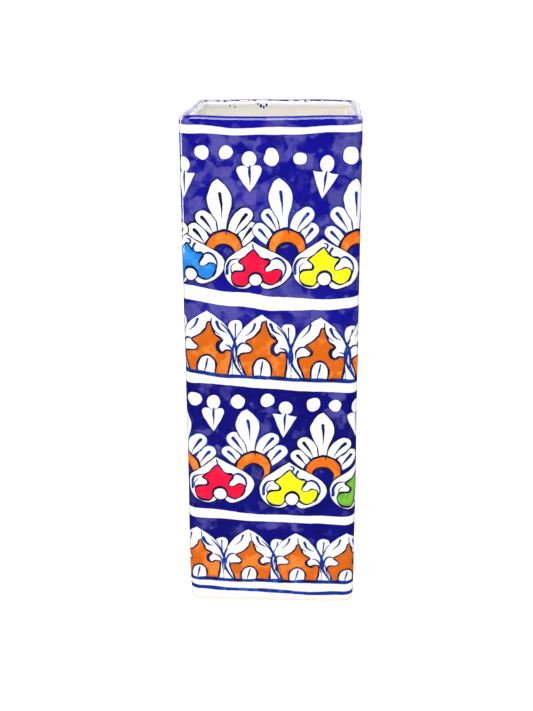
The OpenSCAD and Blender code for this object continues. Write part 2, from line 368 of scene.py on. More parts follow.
# ------------------------------------------------------------------ the motifs

PETAL = curve([(-1.7, 40.1), (2, 36.6), (4.6, 32.2), (5.1, 27.8), (4.2, 23.4), (2.3, 17.5),
               (1.0, 8.6), (-2.8, 8.6), (-3.6, 16), (-6.0, 20.4), (-7.9, 24.9),
               (-8.8, 29.3), (-7.8, 32.9), (-5, 38)], corners=(0, 6, 7))
INNER_PETAL = brush((3.0, 7.6, 3.6), (5.4, 12.2, 7.0), (8.0, 15.8, 8.6), (10.4, 18.2, 8.2))
OUTER_PETAL = brush((8.2, 2.0, 4.0), (10.8, 5.4, 7.0), (13.0, 8.2, 8.0), (15.0, 10.2, 7.8))
MIDDLE_VEIN = brush((-1.4, 32.0, 2.0), (-1.1, 28.5, 1.7), (-0.8, 24, 0.9), (-1, 18.5, 0.2))
INNER_VEIN = brush((11.0, 18.6, 2.0), (9.2, 16.2, 1.5), (6.9, 12.6, 0.7), (5.4, 9.4, 0.2))
OUTER_VEIN = brush((15.0, 10.4, 1.9), (13.0, 8.2, 1.4), (10.9, 5.4, 0.6), (9.4, 3.2, 0.2))

MOON_NECK = curve([(5.5, -4), (4.6, -9), (4.2, -19), (-4.2, -19), (-4.6, -9), (-5.5, -4),
                   (-3.9, -0.1), (0, 1.5), (3.9, -0.1)], corners=(2, 3))

BLOSSOM = curve([(-1.6, 27.7), (3.5, 24.3), (8.7, 21.7), (13.8, 18.8), (17.9, 15.1), (19.3, 11),
                 (17.9, 7), (14.6, 3.3), (10.1, 1), (6.1, 0.1), (3.5, 1), (2.6, 2.6),
                 (-2.4, 2.2), (-3.8, 0.7), (-7.5, 0.1), (-11.9, 1.5), (-15.6, 4.8),
                 (-17.2, 8.5), (-17.4, 12.9), (-15.6, 17.3), (-11.2, 21), (-6, 24.6)],
                corners=(0, 11, 12))
HEART = curve([(-1, 22.6), (1.3, 19.1), (4.3, 17.1), (7.4, 16.4), (5.9, 14.3), (4.9, 11.8),
               (5.9, 10.1), (8.7, 10.3), (11.6, 11.3), (13.7, 10.3), (13.5, 7.7), (11.6, 4.4),
               (9, 2.9), (6.1, 3.7), (3.9, 5.9), (2.4, 8.8), (-0.5, 10), (-3.1, 8.8),
               (-4, 6.3), (-5.3, 2.4), (-9, 2.2), (-12.3, 3.7), (-13.5, 6.6), (-12.3, 9.2),
               (-9.3, 10.1), (-6.8, 10.3), (-5.7, 12.1), (-7.1, 14.3), (-9.1, 15.8),
               (-6, 18.4), (-3.1, 21)], corners=(0, 3, 28), step=0.7)
LEFT_SCROLL = brush((-15.9, 8.4, 1.8), (-15.6, 13.2, 1.5), (-13.4, 16.2, 1.0), (-9.3, 17.0, 0.3))
RIGHT_SCROLL = brush((7.8, 16.5, 0.5), (10.9, 17.6, 1.3), (14.2, 15.4, 1.3), (15.5, 11.4, 1.0),
                     (14.2, 7, 0.7), (12.7, 3.7, 0.3))
TIP_STROKE = brush((-1.6, 26.3, 0.5), (-1.3, 24.8, 0.9), (-1.1, 22.4, 0.5))
TOP_HOOK = brush((-0.6, 21.6, 0.5), (0.9, 23.4, 1.2), (0.3, 25.0, 0.9), (-1.3, 25.1, 0.4))
SIDE_HOOK = brush((3.4, 22.4, 1.4), (2.2, 20.2, 1.2), (3.4, 18.0, 0.8), (7.0, 16.9, 0.5))
INNER_STROKE = brush((-13.2, 8.6, 0.8), (-13.6, 12.2, 0.6), (-11.4, 14.6, 0.25))

DROP_HEART = curve([(0, 0), (3.3, 5.2), (6.2, 11), (6.6, 14.3), (4.6, 15.7), (1.6, 15.1),
                    (0, 13.6), (-1.6, 15.1), (-4.6, 15.7), (-6.6, 14.3), (-6.2, 11),
                    (-3.3, 5.2)], corners=(0, 6))
DROP_KITE = curve([(0, 0), (3.4, 7), (7, 14.4), (3.2, 14.6), (0, 15.4), (-3.2, 14.6),
                   (-7, 14.7), (-3.8, 7)], corners=(0, 2, 6))
DROP_VEIN = brush((0.4, 15.8, 0.6), (0.1, 12.4, 1.5), (0.3, 8, 0.9), (0.1, 3.6, 0.2))

ARCH = curve([(-0.8, 36.3), (3.9, 33.3), (8.6, 29.9), (12.5, 25.6), (15.5, 20.6), (17, 15.6),
              (17.6, 8), (17.6, -1.5), (-17.6, -1.5), (-17.6, 8), (-17.2, 15.2),
              (-15.2, 22.4), (-11.6, 28), (-5.9, 33.1)], corners=(0, 7, 8))
GATE = curve([(0.4, 32.4), (1.7, 28.2), (3.6, 24.2), (8.0, 21.0), (5.9, 19.2), (5.3, 16.4),
              (6.9, 13.6), (9.3, 13.1), (10.8, 14.5), (13.6, 14.2), (13.8, 10.4), (13, 5.2),
              (12.2, -0.6), (4.8, -0.6), (5.1, 4.8), (3.9, 9.0), (0.2, 11.4), (-3.8, 9.6),
              (-5.8, 4.8), (-5.6, -0.6), (-9, -0.6), (-10.9, 4.1), (-13.0, 8.9), (-13.2, 12.0),
              (-10.4, 13.2), (-7.0, 13.9), (-5.6, 16.4), (-7.2, 18.6), (-9.6, 20.6),
              (-5.3, 23.4), (-1.7, 27.2), (-0.5, 31.6)],
             corners=(0, 3, 9, 12, 13, 19, 20, 28), step=0.7)
DOOR = curve([(4.6, -0.6), (4.9, 4.8), (3.7, 8.9), (0.2, 11.1), (-3.6, 9.5), (-5.6, 4.8),
              (-5.4, -0.6)], corners=(0, 6), step=0.7)
RIGHT_BITE = brush((8.6, 21.0, 0.5), (6.1, 19.3, 1.1), (5.4, 16.4, 1.3), (6.9, 13.7, 1.2),
                   (9.4, 13.0, 1.0), (11.4, 14.5, 0.5))
LEFT_BITE = brush((-10.0, 20.8, 0.5), (-7.2, 18.7, 0.9), (-5.6, 16.4, 1.1), (-7.0, 13.9, 0.9),
                  (-10.6, 13.2, 0.5))
GATE_VEIN = brush((0.2, 9.2, 0.8), (-0.4, 6, 1.2), (-1.1, 2.6, 0.8), (-1.7, -0.4, 0.3))
GATE_FEET = (brush((-11.4, -0.2, 1.1), (-8.4, -0.5, 1.9), (-5.0, -0.5, 1.1)),
             brush((4.4, -0.5, 1.2), (8.6, -0.6, 2.1), (12.6, -0.4, 1.1)))
S_LINE = brush((-14.9, 22.8, 0.6), (-17.0, 18.4, 1.3), (-17.6, 12.8, 1.8), (-16.2, 7.4, 1.5),
               (-13.6, 3.2, 1.3), (-10.6, -0.8, 1.0))
RIGHT_LINE = brush((8.6, 29.2, 0.5), (13.4, 23.9, 1.2), (16.6, 17.8, 1.7), (17.8, 12, 1.4),
                   (17.2, 6.4, 0.5))
LEAF_STROKES = (
    brush((-5.6, 31.0, 1.5), (-6.9, 27.4, 1.0), (-10.7, 23.8, 0.3)),
    brush((4.6, 29.9, 1.9), (6.6, 26.0, 1.3), (10.9, 23.6, 0.3)),
    brush((1.4, 32.6, 0.7), (1.8, 28.6, 0.7), (3.4, 25.4, 0.7), (7.0, 22.6, 0.3)),
    brush((-9.0, 18.6, 0.4), (-12.6, 19.2, 1.1), (-15.4, 16.4, 1.3), (-15.9, 11.8, 0.4)),
    brush((10.6, 17.2, 0.5), (13.8, 16.0, 1.1), (15.6, 12.4, 1.1), (15.8, 6.7, 0.4)),
    brush((-14.6, 12, 0.7), (-14.2, 8.0, 0.9), (-12.2, 3.2, 0.3)),
)
LITTLE_PETAL = curve([(0.2, 31.2), (3.2, 30.4), (4.3, 27.4), (3.4, 23.6), (1.2, 18.6),
                      (-1.2, 18.6), (-3.2, 23.4), (-4.1, 27.2), (-2.8, 30.3)])
LITTLE_VEIN = brush((0.4, 28.8, 1.0), (0.2, 25.4, 0.8), (0.3, 19.6, 0.9), (0.2, 16, 0.4))


def palmette(strip, at, size, tilt, line):
    """Five white petals round an orange moon, which sits between two blossoms."""
    how = {"at": at, "size": size, "tilt": tilt}
    petals = [(OUTER_PETAL, OUTER_VEIN), (flip(OUTER_PETAL), flip(OUTER_VEIN)),
              (INNER_PETAL, INNER_VEIN), (flip(INNER_PETAL), flip(INNER_VEIN)),
              (PETAL, MIDDLE_VEIN)]
    for petal, vein in petals:
        reach = 1.0 if petal is PETAL else strip.hand.uniform(0.97, 1.12)
        own = {"at": at, "size": (size[0] * reach, size[1] * reach),
               "tilt": tilt + strip.hand.uniform(-0.05, 0.05)}
        strip.lay(line, grown(petal, 0.75, 0.9), **own)
        strip.lay("bare", petal, **own)
        strip.lay(line, vein, **own)
    strip.lay("navy", grown(disc(0, 0, 10.6), 0.75, 0.9), **how)
    strip.lay("moon", disc(0, -0.1, 10.0), **how)
    strip.lay("navy", brush((1.3, 10.5, 0.9), (1.5, 8.0, 0.3)), **how)
    strip.lay("navy", disc(-0.2, -3.4, 6.7), **how)
    strip.lay("ground", MOON_NECK, **how)


def blossom(strip, at, size, tilt, paint, hooked):
    """A white pod with a coloured heart in it and a white dot at its foot."""
    how = {"at": at, "size": size, "tilt": tilt}
    strip.lay("navy", grown(BLOSSOM, 0.6, 0.9), **how)
    strip.lay("bare", BLOSSOM, **how)
    for stroke in (LEFT_SCROLL, RIGHT_SCROLL, INNER_STROKE):
        strip.lay("line", stroke, **strip.loosely(how))
    strip.lay("navy", grown(HEART, 0.95, 0.9), **how)
    strip.lay(paint, HEART, **how)
    for stroke in (TOP_HOOK, SIDE_HOOK) if hooked else (TIP_STROKE,):
        strip.lay("line", stroke, **how)
    strip.lay("navy", disc(0, 6.0, 4.5), **how)
    strip.lay("bare", disc(0, 5.4, 3.45), **how)


def drop(strip, at, size, tilt, kite):
    """A white head over a pointed leaf, hanging between the dots."""
    how = {"at": at, "size": size, "tilt": tilt}
    leaf = DROP_KITE if kite else DROP_HEART
    strip.lay("line", grown(leaf, 0.3, 0.9), **how)
    strip.lay("bare", leaf, **how)
    strip.lay("bare", disc(0, 19.4, 3.9, tall=1.15), **how)
    strip.lay("line", DROP_VEIN, **how)


def arch(strip, at, size, tilt, gate_tall):
    """A white arch with an orange gate in it, which may be lower than the arch."""
    how = {"at": at, "size": size, "tilt": tilt}
    inner = {**how, "size": (size[0], size[1] * gate_tall), "tilt": tilt - (1 - gate_tall) / 4}
    strip.lay("line", grown(ARCH, 0.5, 0.9), **how)
    strip.lay("bare", ARCH, **how)
    for stroke in LEAF_STROKES:
        strip.lay("line", stroke, **strip.loosely(how))
    strip.lay("navy", grown(GATE, 1.15, 0.5), **inner)
    strip.lay("gate", GATE, **inner)
    strip.lay("navy", grown(DOOR, 0.8, 0.7), **inner)
    strip.lay("bare", grown(DOOR, -0.4), **inner)
    bites = (RIGHT_BITE, LEFT_BITE) if strip.touch.random() < 0.6 else (RIGHT_BITE,)
    for bite in bites:
        strip.lay("navy", bite, **strip.loosely(inner))
    strip.lay("line", GATE_VEIN, **inner)


def between_arches(strip, at, size, tilt):
    """The little petal between two arches, and the lines where the arches meet."""
    how = {"at": at, "size": size, "tilt": tilt}
    strip.lay("line", grown(LITTLE_PETAL, 0.25, 0.9), **how)
    strip.lay("bare", LITTLE_PETAL, **how)
    strip.lay("line", LITTLE_VEIN, **how)


# ------------------------------------------------------------------- the bands

# The edges of the bands: places along the strip, and how high the edge is there.
UPPER_FLOWER_TOP = ((-150, 292.6), (-100, 293.2), (-50, 293.4), (0, 292.9), (50, 294.5),
                    (100, 292.7), (150, 293.3))
UPPER_FLOWER_FOOT = ((-195, 203.5), (-150, 201), (-100, 204.5), (-50, 206.3), (-20, 202.4),
                     (1, 200.2), (29, 198.6), (50, 200), (100, 203), (150, 200.5))
UPPER_ARCH_TOP = ((-195, 195.5), (-150, 193.2), (-100, 196.4), (-50, 197.9), (-22, 193.8),
                  (1, 191.7), (28, 192), (50, 194), (100, 195.8), (150, 192.6))
UPPER_ARCH_FOOT = ((-195, 152), (-150, 151), (-100, 153.8), (-50, 152.6), (-24, 149.0),
                   (17, 147.9), (50, 147.0), (100, 151.5), (150, 152.6))
LOWER_FLOWER_TOP = ((-195, 143.5), (-150, 142.3), (-100, 145.2), (-50, 146.5), (0, 142.8),
                    (50, 140.9), (100, 143), (150, 144.4))
LOWER_FLOWER_FOOT = ((-195, 62), (-150, 61.3), (-100, 63.7), (-50, 64.3), (0, 60.4),
                     (50, 59.7), (100, 62), (150, 63.2))
LOWER_ARCH_TOP = ((-195, 56.5), (-150, 55.3), (-100, 57), (-50, 58), (0, 55.5), (50, 54.2),
                  (100, 56), (150, 57.1))
LOWER_ARCH_FOOT = ((-195, 15.6), (-150, 16.2), (-100, 15.3), (-50, 13.8), (0, 13.3),
                   (50, 13.0), (100, 16), (150, 15))
FOOT_LINE = ((-195, 8), (-150, 7), (-100, 8.6), (-52, 7.8), (-26, 7.2), (0, 6.0), (24, 4.9),
             (50, 5.2), (100, 8.6), (150, 7.2))
RIM_FOOT = ((-195, 297.4), (-150, 298), (-100, 297), (-50, 297.9), (-20, 296.8), (10, 297.0),
            (35, 297.7), (52, 298.8), (100, 297.6), (150, 298.2))
# Stray dabs inside the mouth: place along the back wall, place up the strip and radius.
SPATTER = ((6.5, 0.2, 0.8), (8.4, 1.5, 0.7), (10.2, 0.6, 0.9), (12.0, -0.6, 0.6),
           (27.0, 1.0, 0.5), (30.5, 0.2, 0.45))


def edge(knots):
    return functools.partial(height_at, knots)


def round_the_vase(count, start):
    """The middle of each of a row of motifs, with the left half of the vase below zero."""
    for i in range(count):
        s = start + GIRTH / count * i
        yield i, s - GIRTH if s > SEAM else s


def flower_band(seed, top, foot, blossoms, moons, drops, dots):
    """A cobalt band of blossoms and palmettes, with drops and dots over them."""
    strip = Strip(seed)
    hand = strip.hand
    strip.band("ground", edge(foot), edge(top))
    for s, z, size, line in moons:
        palmette(strip, (s, z), size, hand.uniform(-0.03, 0.03), line)
    for s, z, size, paint, hooked in blossoms:
        blossom(strip, (s, z), size, hand.uniform(-0.03, 0.03), paint, hooked)
    for s, z, lean, kite in drops:
        drop(strip, (s, z), (hand.uniform(0.95, 1.05), hand.uniform(0.95, 1.03)), lean, kite)
    for s, z in dots:
        tall = hand.uniform(0.86, 1.2)
        strip.lay("bare", dab(hand.uniform(3.6, 4.7), tall, s), (s, z),
                  tilt=hand.uniform(-0.5, 0.5))
    return strip


def upper_flowers():
    hand = random.Random(31)
    paints = ("sky", "red", "yellow", "green")
    front = {0: (0.8, -3.2), 1: (-1.4, -0.7), 2: (-1.6, 1.8)}  # nudges of the front blossoms
    front_moons = {0: 0.2, 1: -3.6, 2: -2.9}
    front_drops = {0: (-49.5, 257.3, 0), 1: (-11.4, 260.9, 0.02), 2: (29.4, 257.4, -0.13)}
    front_dots = {0: ((-38.8, 283.4), (-24.9, 283.6)), 1: ((0.9, 280.9), (17, 279.8)),
                  2: ((45.6, 281.4), (56, 282))}
    blossoms, moons, drops, dots = [], [], [], []
    for i, s in round_the_vase(10, -47):
        ds, dz = front.get(i, (hand.uniform(-1.5, 1.5), hand.uniform(-1, 1)))
        z = height_at(UPPER_FLOWER_FOOT, s) + 4.4 + dz
        wide = 1.08 if i == 2 else hand.uniform(1.0, 1.06)
        blossoms.append((s + ds, z, (wide, hand.uniform(1.0, 1.06)), paints[i % 4], i % 2 == 0))
        ds = front_moons.get(i, hand.uniform(-2, 2))
        line = "navy" if i % 3 == 0 else "line"
        moons.append((s + 20 + ds, 228.5 + hand.uniform(-0.8, 0.8), (1, 1), line))
        drops.append((*front_drops.get(i, (s - 2 + hand.uniform(-1.5, 1.5),
                                           259.5 + hand.uniform(-2.5, 2),
                                           hand.uniform(-0.1, 0.1))), i % 2 == 0))
        dots += front_dots.get(i, [(s + gap + hand.uniform(-1.6, 1.6),
                                    281.8 + hand.uniform(-2.2, 1.8)) for gap in (8.6, 23)])
    return flower_band(5, UPPER_FLOWER_TOP, UPPER_FLOWER_FOOT, blossoms, moons, drops, dots)


def lower_flowers():
    hand = random.Random(47)
    paints = ("red", "yellow", "green", "sky", "red", "yellow", "green", "sky", "yellow")
    front = {0: (1.1, 0.2), 1: (0.7, 0.1), 2: (-0.5, 0)}  # nudges of the front blossoms
    front_moons = {0: -0.5, 1: -2.3}
    moon_heights = {0: 92, 1: 90}
    front_drops = {0: (-35.0, 115.3, -0.02), 1: (7.3, 112, -0.09), 2: (52.6, 111.5, 0)}
    front_dots = {0: ((-20, 134.6), (-2, 135.5)), 1: ((25.3, 133.3), (38.8, 132.5)),
                  8: ((-63, 134), (-45.9, 136.2))}
    blossoms, moons, drops, dots = [], [], [], []
    for i, s in round_the_vase(9, -32.4):
        ds, dz = front.get(i, (hand.uniform(-1.5, 1.5), hand.uniform(-1, 1)))
        z = height_at(LOWER_FLOWER_FOOT, s) + 4.8 + dz
        size = (hand.uniform(1.09, 1.12), hand.uniform(1.07, 1.12))
        blossoms.append((s + ds, z, size, paints[i], i % 2 == 1))
        ds = front_moons.get(i, hand.uniform(-2, 2))
        z = moon_heights.get(i, 91 + hand.uniform(-1, 1))
        moons.append((s + 22.2 + ds, z, (1.02, 0.95), "navy" if i % 3 == 1 else "line"))
        drops.append((*front_drops.get(i, (s - 3 + hand.uniform(-1.5, 1.5),
                                           113.5 + hand.uniform(-2, 2),
                                           hand.uniform(-0.1, 0.1))), i % 2 == 1))
        dots += front_dots.get(i, [(s + gap + hand.uniform(-1.8, 1.8),
                                    134.2 + hand.uniform(-1.8, 1.4)) for gap in (12.6, 29)])
    return flower_band(6, LOWER_FLOWER_TOP, LOWER_FLOWER_FOOT, blossoms, moons, drops, dots)


def arch_band(seed, top, foot, count, start, size, front):
    """White arches with orange gates on a base line, under a cobalt sky.

    front holds the height of the first arches and of the gate in each, as shares.
    """
    strip = Strip(seed)
    hand = strip.hand
    strip.band("ground", edge(foot), edge(top))
    pitch = GIRTH / count
    places = [(s + hand.uniform(-0.7, 0.7), height_at(foot, s) + 1.9)
              for _, s in round_the_vase(count, start)]
    for s, z in places:
        between_arches(strip, (s + pitch / 2, z - 0.4), size, hand.uniform(-0.08, 0.08))
    for i, (s, z) in enumerate(places):
        tall, gate_tall = hand.uniform(0.97, 1.03), hand.uniform(0.87, 0.97)
        if i < len(front):
            tall, gate_tall = front[i]
        grow = (size[0] * hand.uniform(0.98, 1.01), size[1] * tall)
        lean = (height_at(foot, s + 8) - height_at(foot, s - 8)) / 60
        arch(strip, (s, z), grow, lean + hand.uniform(-0.03, 0.03), gate_tall)
    for s, z in places:
        for line in (S_LINE, RIGHT_LINE):
            strip.lay("line", line, (s, z), size)
    strip.band("line", edge(foot),
               lambda s: height_at(foot, s) + 2.4 + 0.9 * noise.noise(on_drum(s, 0) / 9))
    for s, z in places:
        for foot_stroke in GATE_FEET:
            if hand.random() < 0.8:
                strip.lay("navy", foot_stroke, (s, z), size)
    return strip


def upper_arches():
    return arch_band(7, UPPER_ARCH_TOP, UPPER_ARCH_FOOT, 12, -37.7, (1, 1.06),
                     ((1.0, 0.92), (1.0, 0.99), (0.98, 0.92)))


def lower_arches():
    return arch_band(8, LOWER_ARCH_TOP, LOWER_ARCH_FOOT, 13, -45.0, (0.92, 0.93),
                     ((1.06, 0.84), (1.03, 0.84), (0.97, 0.84), (0.98, 0.86)))


def foot_ring():
    strip = Strip(9)
    strip.band("ground", edge(FOOT_LINE),
               lambda s: height_at(FOOT_LINE, s) + 2.5 + 0.7 * noise.noise(on_drum(s, 9) / 11))
    return strip


def rim_top(s):
    """How far up the paint of the rim goes: right over the lip in front, to its crest elsewhere."""
    front = min(1, max(0, (QUARTER / 2 + 6 - abs(s)) / 12))
    front = front * front * (3 - 2 * front)
    over = OVER_LIP - 0.6 + 0.7 * noise.noise(on_drum(s, 0) / 7)
    crest = CREST + 0.8 * noise.noise(on_drum(s, 0) / 5)
    return crest + (over - crest) * front


def rim():
    strip = Strip(10, loose=True)
    strip.band("ground", edge(RIM_FOOT), rim_top)
    for s, v, radius in SPATTER:
        strip.lay("ground", dab(radius, 1.3, s), (s - SEAM, OVER_LIP + v))
    return strip


# ------------------------------------------------------------------ node trees


class Field:
    """A number that flows through a node tree, so that a formula can be written as one."""

    def __init__(self, socket):
        self.socket = socket

    def calc(self, operation, *values):
        return calc(self.socket.id_data, operation, self, *values)

    def __add__(self, other):
        return self.calc("ADD", other)

    def __sub__(self, other):
        return self.calc("SUBTRACT", other)

    def __rsub__(self, other):
        return calc(self.socket.id_data, "SUBTRACT", other, self)

    def __mul__(self, other):
        return self.calc("MULTIPLY", other)

    def __truediv__(self, other):
        return self.calc("DIVIDE", other)

    __radd__ = __add__
    __rmul__ = __mul__

    def sin(self):
        return self.calc("SINE")

    def cos(self):
        return self.calc("COSINE")

    def least(self, other):
        return self.calc("MINIMUM", other)

    def most(self, other):
        return self.calc("MAXIMUM", other)

    def smooth(self, start, end):
        """Rises smoothly from 0 at start to 1 at end."""
        tree = self.socket.id_data
        node = tree.nodes.new("ShaderNodeMapRange")
        node.interpolation_type = "SMOOTHSTEP"
        for name, value in (("Value", self), ("From Min", start), ("From Max", end)):
            plug(node.inputs[name], value)
        return Field(node.outputs[0])


def plug(socket, value):
    """Feeds a socket from a field, from another socket or with a plain value."""
    value = value.socket if isinstance(value, Field) else value
    if isinstance(value, bpy.types.NodeSocket):
        socket.id_data.links.new(value, socket)
    else:
        socket.default_value = value


def calc(tree, operation, *values):
    node = tree.nodes.new("ShaderNodeMath")
    node.operation = operation
    for socket, value in zip(node.inputs, values):
        plug(socket, value)
    return Field(node.outputs[0])


def add(tree, kind, inputs=None, **settings):
    """Adds a node, sets its properties and feeds its inputs."""
    node = tree.nodes.new(kind)
    for name, value in settings.items():
        setattr(node, name, value)
    for name, value in (inputs or {}).items():
        plug(node.inputs[name], value)
    return node


def noise_field(tree, vector, scale, detail=2.0, roughness=0.5, distortion=0.0):
    node = add(tree, "ShaderNodeTexNoise", {"Vector": vector, "Scale": scale, "Detail": detail,
                                            "Roughness": roughness, "Distortion": distortion})
    return Field(node.outputs[0])


def new_group(name, kind, inputs, outputs):
    """An empty node group with typed sockets; inputs are (name, socket type, default)."""
    tree = bpy.data.node_groups.new(name, kind)
    for label, socket_type, default in inputs:
        socket = tree.interface.new_socket(label, in_out="INPUT", socket_type=socket_type)
        if default is not None:
            socket.default_value = default
    for label, socket_type in outputs:
        tree.interface.new_socket(label, in_out="OUTPUT", socket_type=socket_type)
    return tree, tree.nodes.new("NodeGroupInput"), tree.nodes.new("NodeGroupOutput")


# ------------------------------------------------------------- wrap on the wall


@functools.lru_cache(maxsize=None)
def wrap_group():
    """Wraps a flat piece, x along the strip, y up and z off the wall, on the vase."""
    number = "NodeSocketFloat"
    tree, given, result = new_group("Wrap on wall", "GeometryNodeTree", [
        ("Geometry", "NodeSocketGeometry", None),
        ("Material", "NodeSocketMaterial", None),
        ("Flat half", number, FLAT * MM),
        ("Corner radius", number, CORNER_R * MM),
        ("Lip start", number, LIP_Z * MM),
        ("Lip radius", number, LIP_R * MM),
        ("Foot start", number, FOOT_Z * MM),
        ("Swell", number, 0.0),
        ("Ripple", number, 0.0),
        ("Lip rise", number, 0.0),
    ], [("Geometry", "NodeSocketGeometry")])
    flat, corner = Field(given.outputs["Flat half"]), Field(given.outputs["Corner radius"])
    lip, bend = Field(given.outputs["Lip start"]), Field(given.outputs["Lip radius"])
    foot = Field(given.outputs["Foot start"])
    where = tree.nodes.new("GeometryNodeInputPosition")
    place = add(tree, "ShaderNodeSeparateXYZ", {0: where.outputs[0]})
    s, v, t = (Field(place.outputs[k]) for k in range(3))

    quarter = flat * 2 + corner * (math.pi / 2)
    side = (s / quarter).calc("ROUND")
    local = s - side * quarter
    along = local.least(flat).most(flat * -1)
    turn = (local - along) / corner
    over = v - lip
    roll = (over / bend).most(0).least(math.pi)
    tuck_radius = FOOT_Z * MM + (GLAZE_SIDE - CLAY_SIDE) * MM
    tuck = ((foot - v) / tuck_radius).most(0)

    spin = s / quarter * (math.pi / 2)
    reach = quarter * (2 / math.pi)
    drum = add(tree, "ShaderNodeCombineXYZ", {0: spin.cos() * reach, 1: spin.sin() * reach, 2: v})
    slow = noise_field(tree, drum.outputs[0], SWELLS, 1.0)
    quick = noise_field(tree, drum.outputs[0], RIPPLES, 2.0)
    shaky = noise_field(tree, drum.outputs[0], LIP_WAVES, 1.0)
    wave = (Field(given.outputs["Swell"]) * (slow * 1.6 - 0.55)
            + Field(given.outputs["Ripple"]) * (quick * 2 - 1))
    # The waves die away at the foot and over the lip, and only the top of the wall rises.
    wave = wave * (roll.cos() + 1) / 2 * v.smooth(0.003, 0.018)
    rise = Field(given.outputs["Lip rise"]) * (shaky * 2 - 0.6) * v.smooth(0.286, LIP_Z * MM)

    out = (bend * (roll.cos() - 1) + t * roll.cos() * tuck.cos() + tuck_radius * (tuck.cos() - 1)
           + wave + corner)
    height = (v.least(lip).most(foot) + bend * roll.sin() - (over - bend * math.pi).most(0)
              + t * roll.sin() - (t + tuck_radius) * tuck.sin() + rise)
    px = along + out * turn.sin()
    py = (flat + out * turn.cos()) * -1
    face = side * (math.pi / 2)
    x = px * face.cos() - py * face.sin()
    y = px * face.sin() + py * face.cos()
    moved = add(tree, "ShaderNodeCombineXYZ", {0: x, 1: y, 2: height})
    put = add(tree, "GeometryNodeSetPosition", {"Geometry": given.outputs["Geometry"],
                                                "Position": moved.outputs[0]})
    weld = add(tree, "GeometryNodeMergeByDistance", {"Geometry": put.outputs[0],
                                                     "Distance": SEAM_WELD})
    real = add(tree, "GeometryNodeRealizeInstances", {"Geometry": weld.outputs[0]})
    paint = add(tree, "GeometryNodeSetMaterial", {"Geometry": real.outputs[0],
                                                  "Material": given.outputs["Material"]})
    plug(result.inputs[0], paint.outputs[0])
    return tree


def wrapped(name, mesh, material):
    """Wraps a flat mesh on the wall and leaves a plain mesh object of that name."""
    flat_object = bpy.data.objects.new(name, mesh)
    bpy.context.collection.objects.link(flat_object)
    group = wrap_group()
    wrap = flat_object.modifiers.new("Wrap on wall", "NODES")
    wrap.node_group = group
    sockets = {item.name: item.identifier for item in group.interface.items_tree
               if item.in_out == "INPUT"}
    body = bpy.context.scene.vase_body
    wrap[sockets["Material"]] = material
    wrap[sockets["Swell"]] = body.swell
    wrap[sockets["Ripple"]] = body.ripple
    wrap[sockets["Lip rise"]] = body.lip_rise
    shape = flat_object.evaluated_get(bpy.context.evaluated_depsgraph_get())
    final = bpy.data.meshes.new_from_object(shape)
    flat_object.modifiers.remove(wrap)
    flat_object.data = final
    bpy.data.meshes.remove(mesh)
    final.name = name
    final.shade_smooth()
    final.set_sharp_from_angle(angle=math.radians(28))
    return flat_object


def mesh_of(name, points, faces, edges=None):
    """A mesh from points in millimetres, with the distance to the edge of its paint."""
    mesh = bpy.data.meshes.new(name)
    mesh.from_pydata([tuple(c * MM for c in p) for p in points], [], faces)
    if edges is not None:
        mesh.attributes.new("edge", "FLOAT", "POINT").data.foreach_set("value", edges)
    return mesh


def finished(piece, nodes=()):
    """Hands a finished piece to the frame."""
    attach(piece, "root")
    if nodes:
        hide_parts(*nodes)
    return piece


# ---------------------------------------------------------------- paint meshes

# How high each paint stands on the glaze at its edge, and how much more inside, in millimetres.
STAND = {"ground": (0.06, 0.05), "moon": (0.07, 0.06), "gate": (0.07, 0.06),
         "red": (0.08, 0.12), "yellow": (0.08, 0.12), "sky": (0.08, 0.08),
         "green": (0.08, 0.08), "navy": (0.10, 0.0), "line": (0.09, 0.0)}
SUNK = -0.12  # how deep a paint's underside lies in the glaze


@functools.lru_cache(maxsize=None)
def painting():
    """Every band, cut into patches of paint."""
    return {"upper flowers": cut_out(upper_flowers()), "upper arches": cut_out(upper_arches()),
            "lower flowers": cut_out(lower_flowers()), "lower arches": cut_out(lower_arches()),
            "foot ring": cut_out(foot_ring()), "rim": cut_out(rim(), gap=1.3)}


def paint_layer(name, patches, paint):
    """A flat closed layer of paint from the patches of one or more bands."""
    stand, rise = STAND[paint]
    points, faces, edges = [], [], []
    for spots, triangles in patches:
        used, corners = np.unique(triangles, return_inverse=True)
        corners = corners.reshape(-1, 3)
        sides = {}
        for a, b, c in corners.tolist():
            for pair in ((a, b), (b, c), (c, a)):
                sides[pair] = True
        rim_sides = [(a, b) for a, b in sides if (b, a) not in sides]
        outer = {a for pair in rim_sides for a in pair}
        near = KDTree(len(outer))
        for i in outer:
            near.insert((*spots[used[i]], 0), i)
        near.balance()
        first, count = len(points), len(used)
        tops, lows = [], []
        for i, spot in enumerate(spots[used].tolist()):
            far = 0.0 if i in outer else near.find((*spot, 0))[2]
            ease = min(1, far / SOFT_EDGE)
            tops.append((*spot, stand + rise * ease * ease * (3 - 2 * ease)))
            lows.append((*spot, SUNK))
            edges.append(far)
        edges += edges[-count:]
        points += tops + lows
        for a, b, c in corners.tolist():
            faces.append((first + a, first + b, first + c))
            faces.append((first + count + c, first + count + b, first + count + a))
        for a, b in rim_sides:
            on_seam = all(abs(abs(spots[used[i]][0]) - SEAM) < WELD for i in (a, b))
            if not on_seam:
                faces.append((first + b, first + a, first + count + a, first + count + b))
    return mesh_of(name, points, faces, edges)


def lay_paint(name, paint, bands, material, nodes=()):
    patches = [painting()[band][paint] for band in bands if paint in painting()[band]]
    return finished(wrapped(name, paint_layer(name, patches, paint), material), nodes)


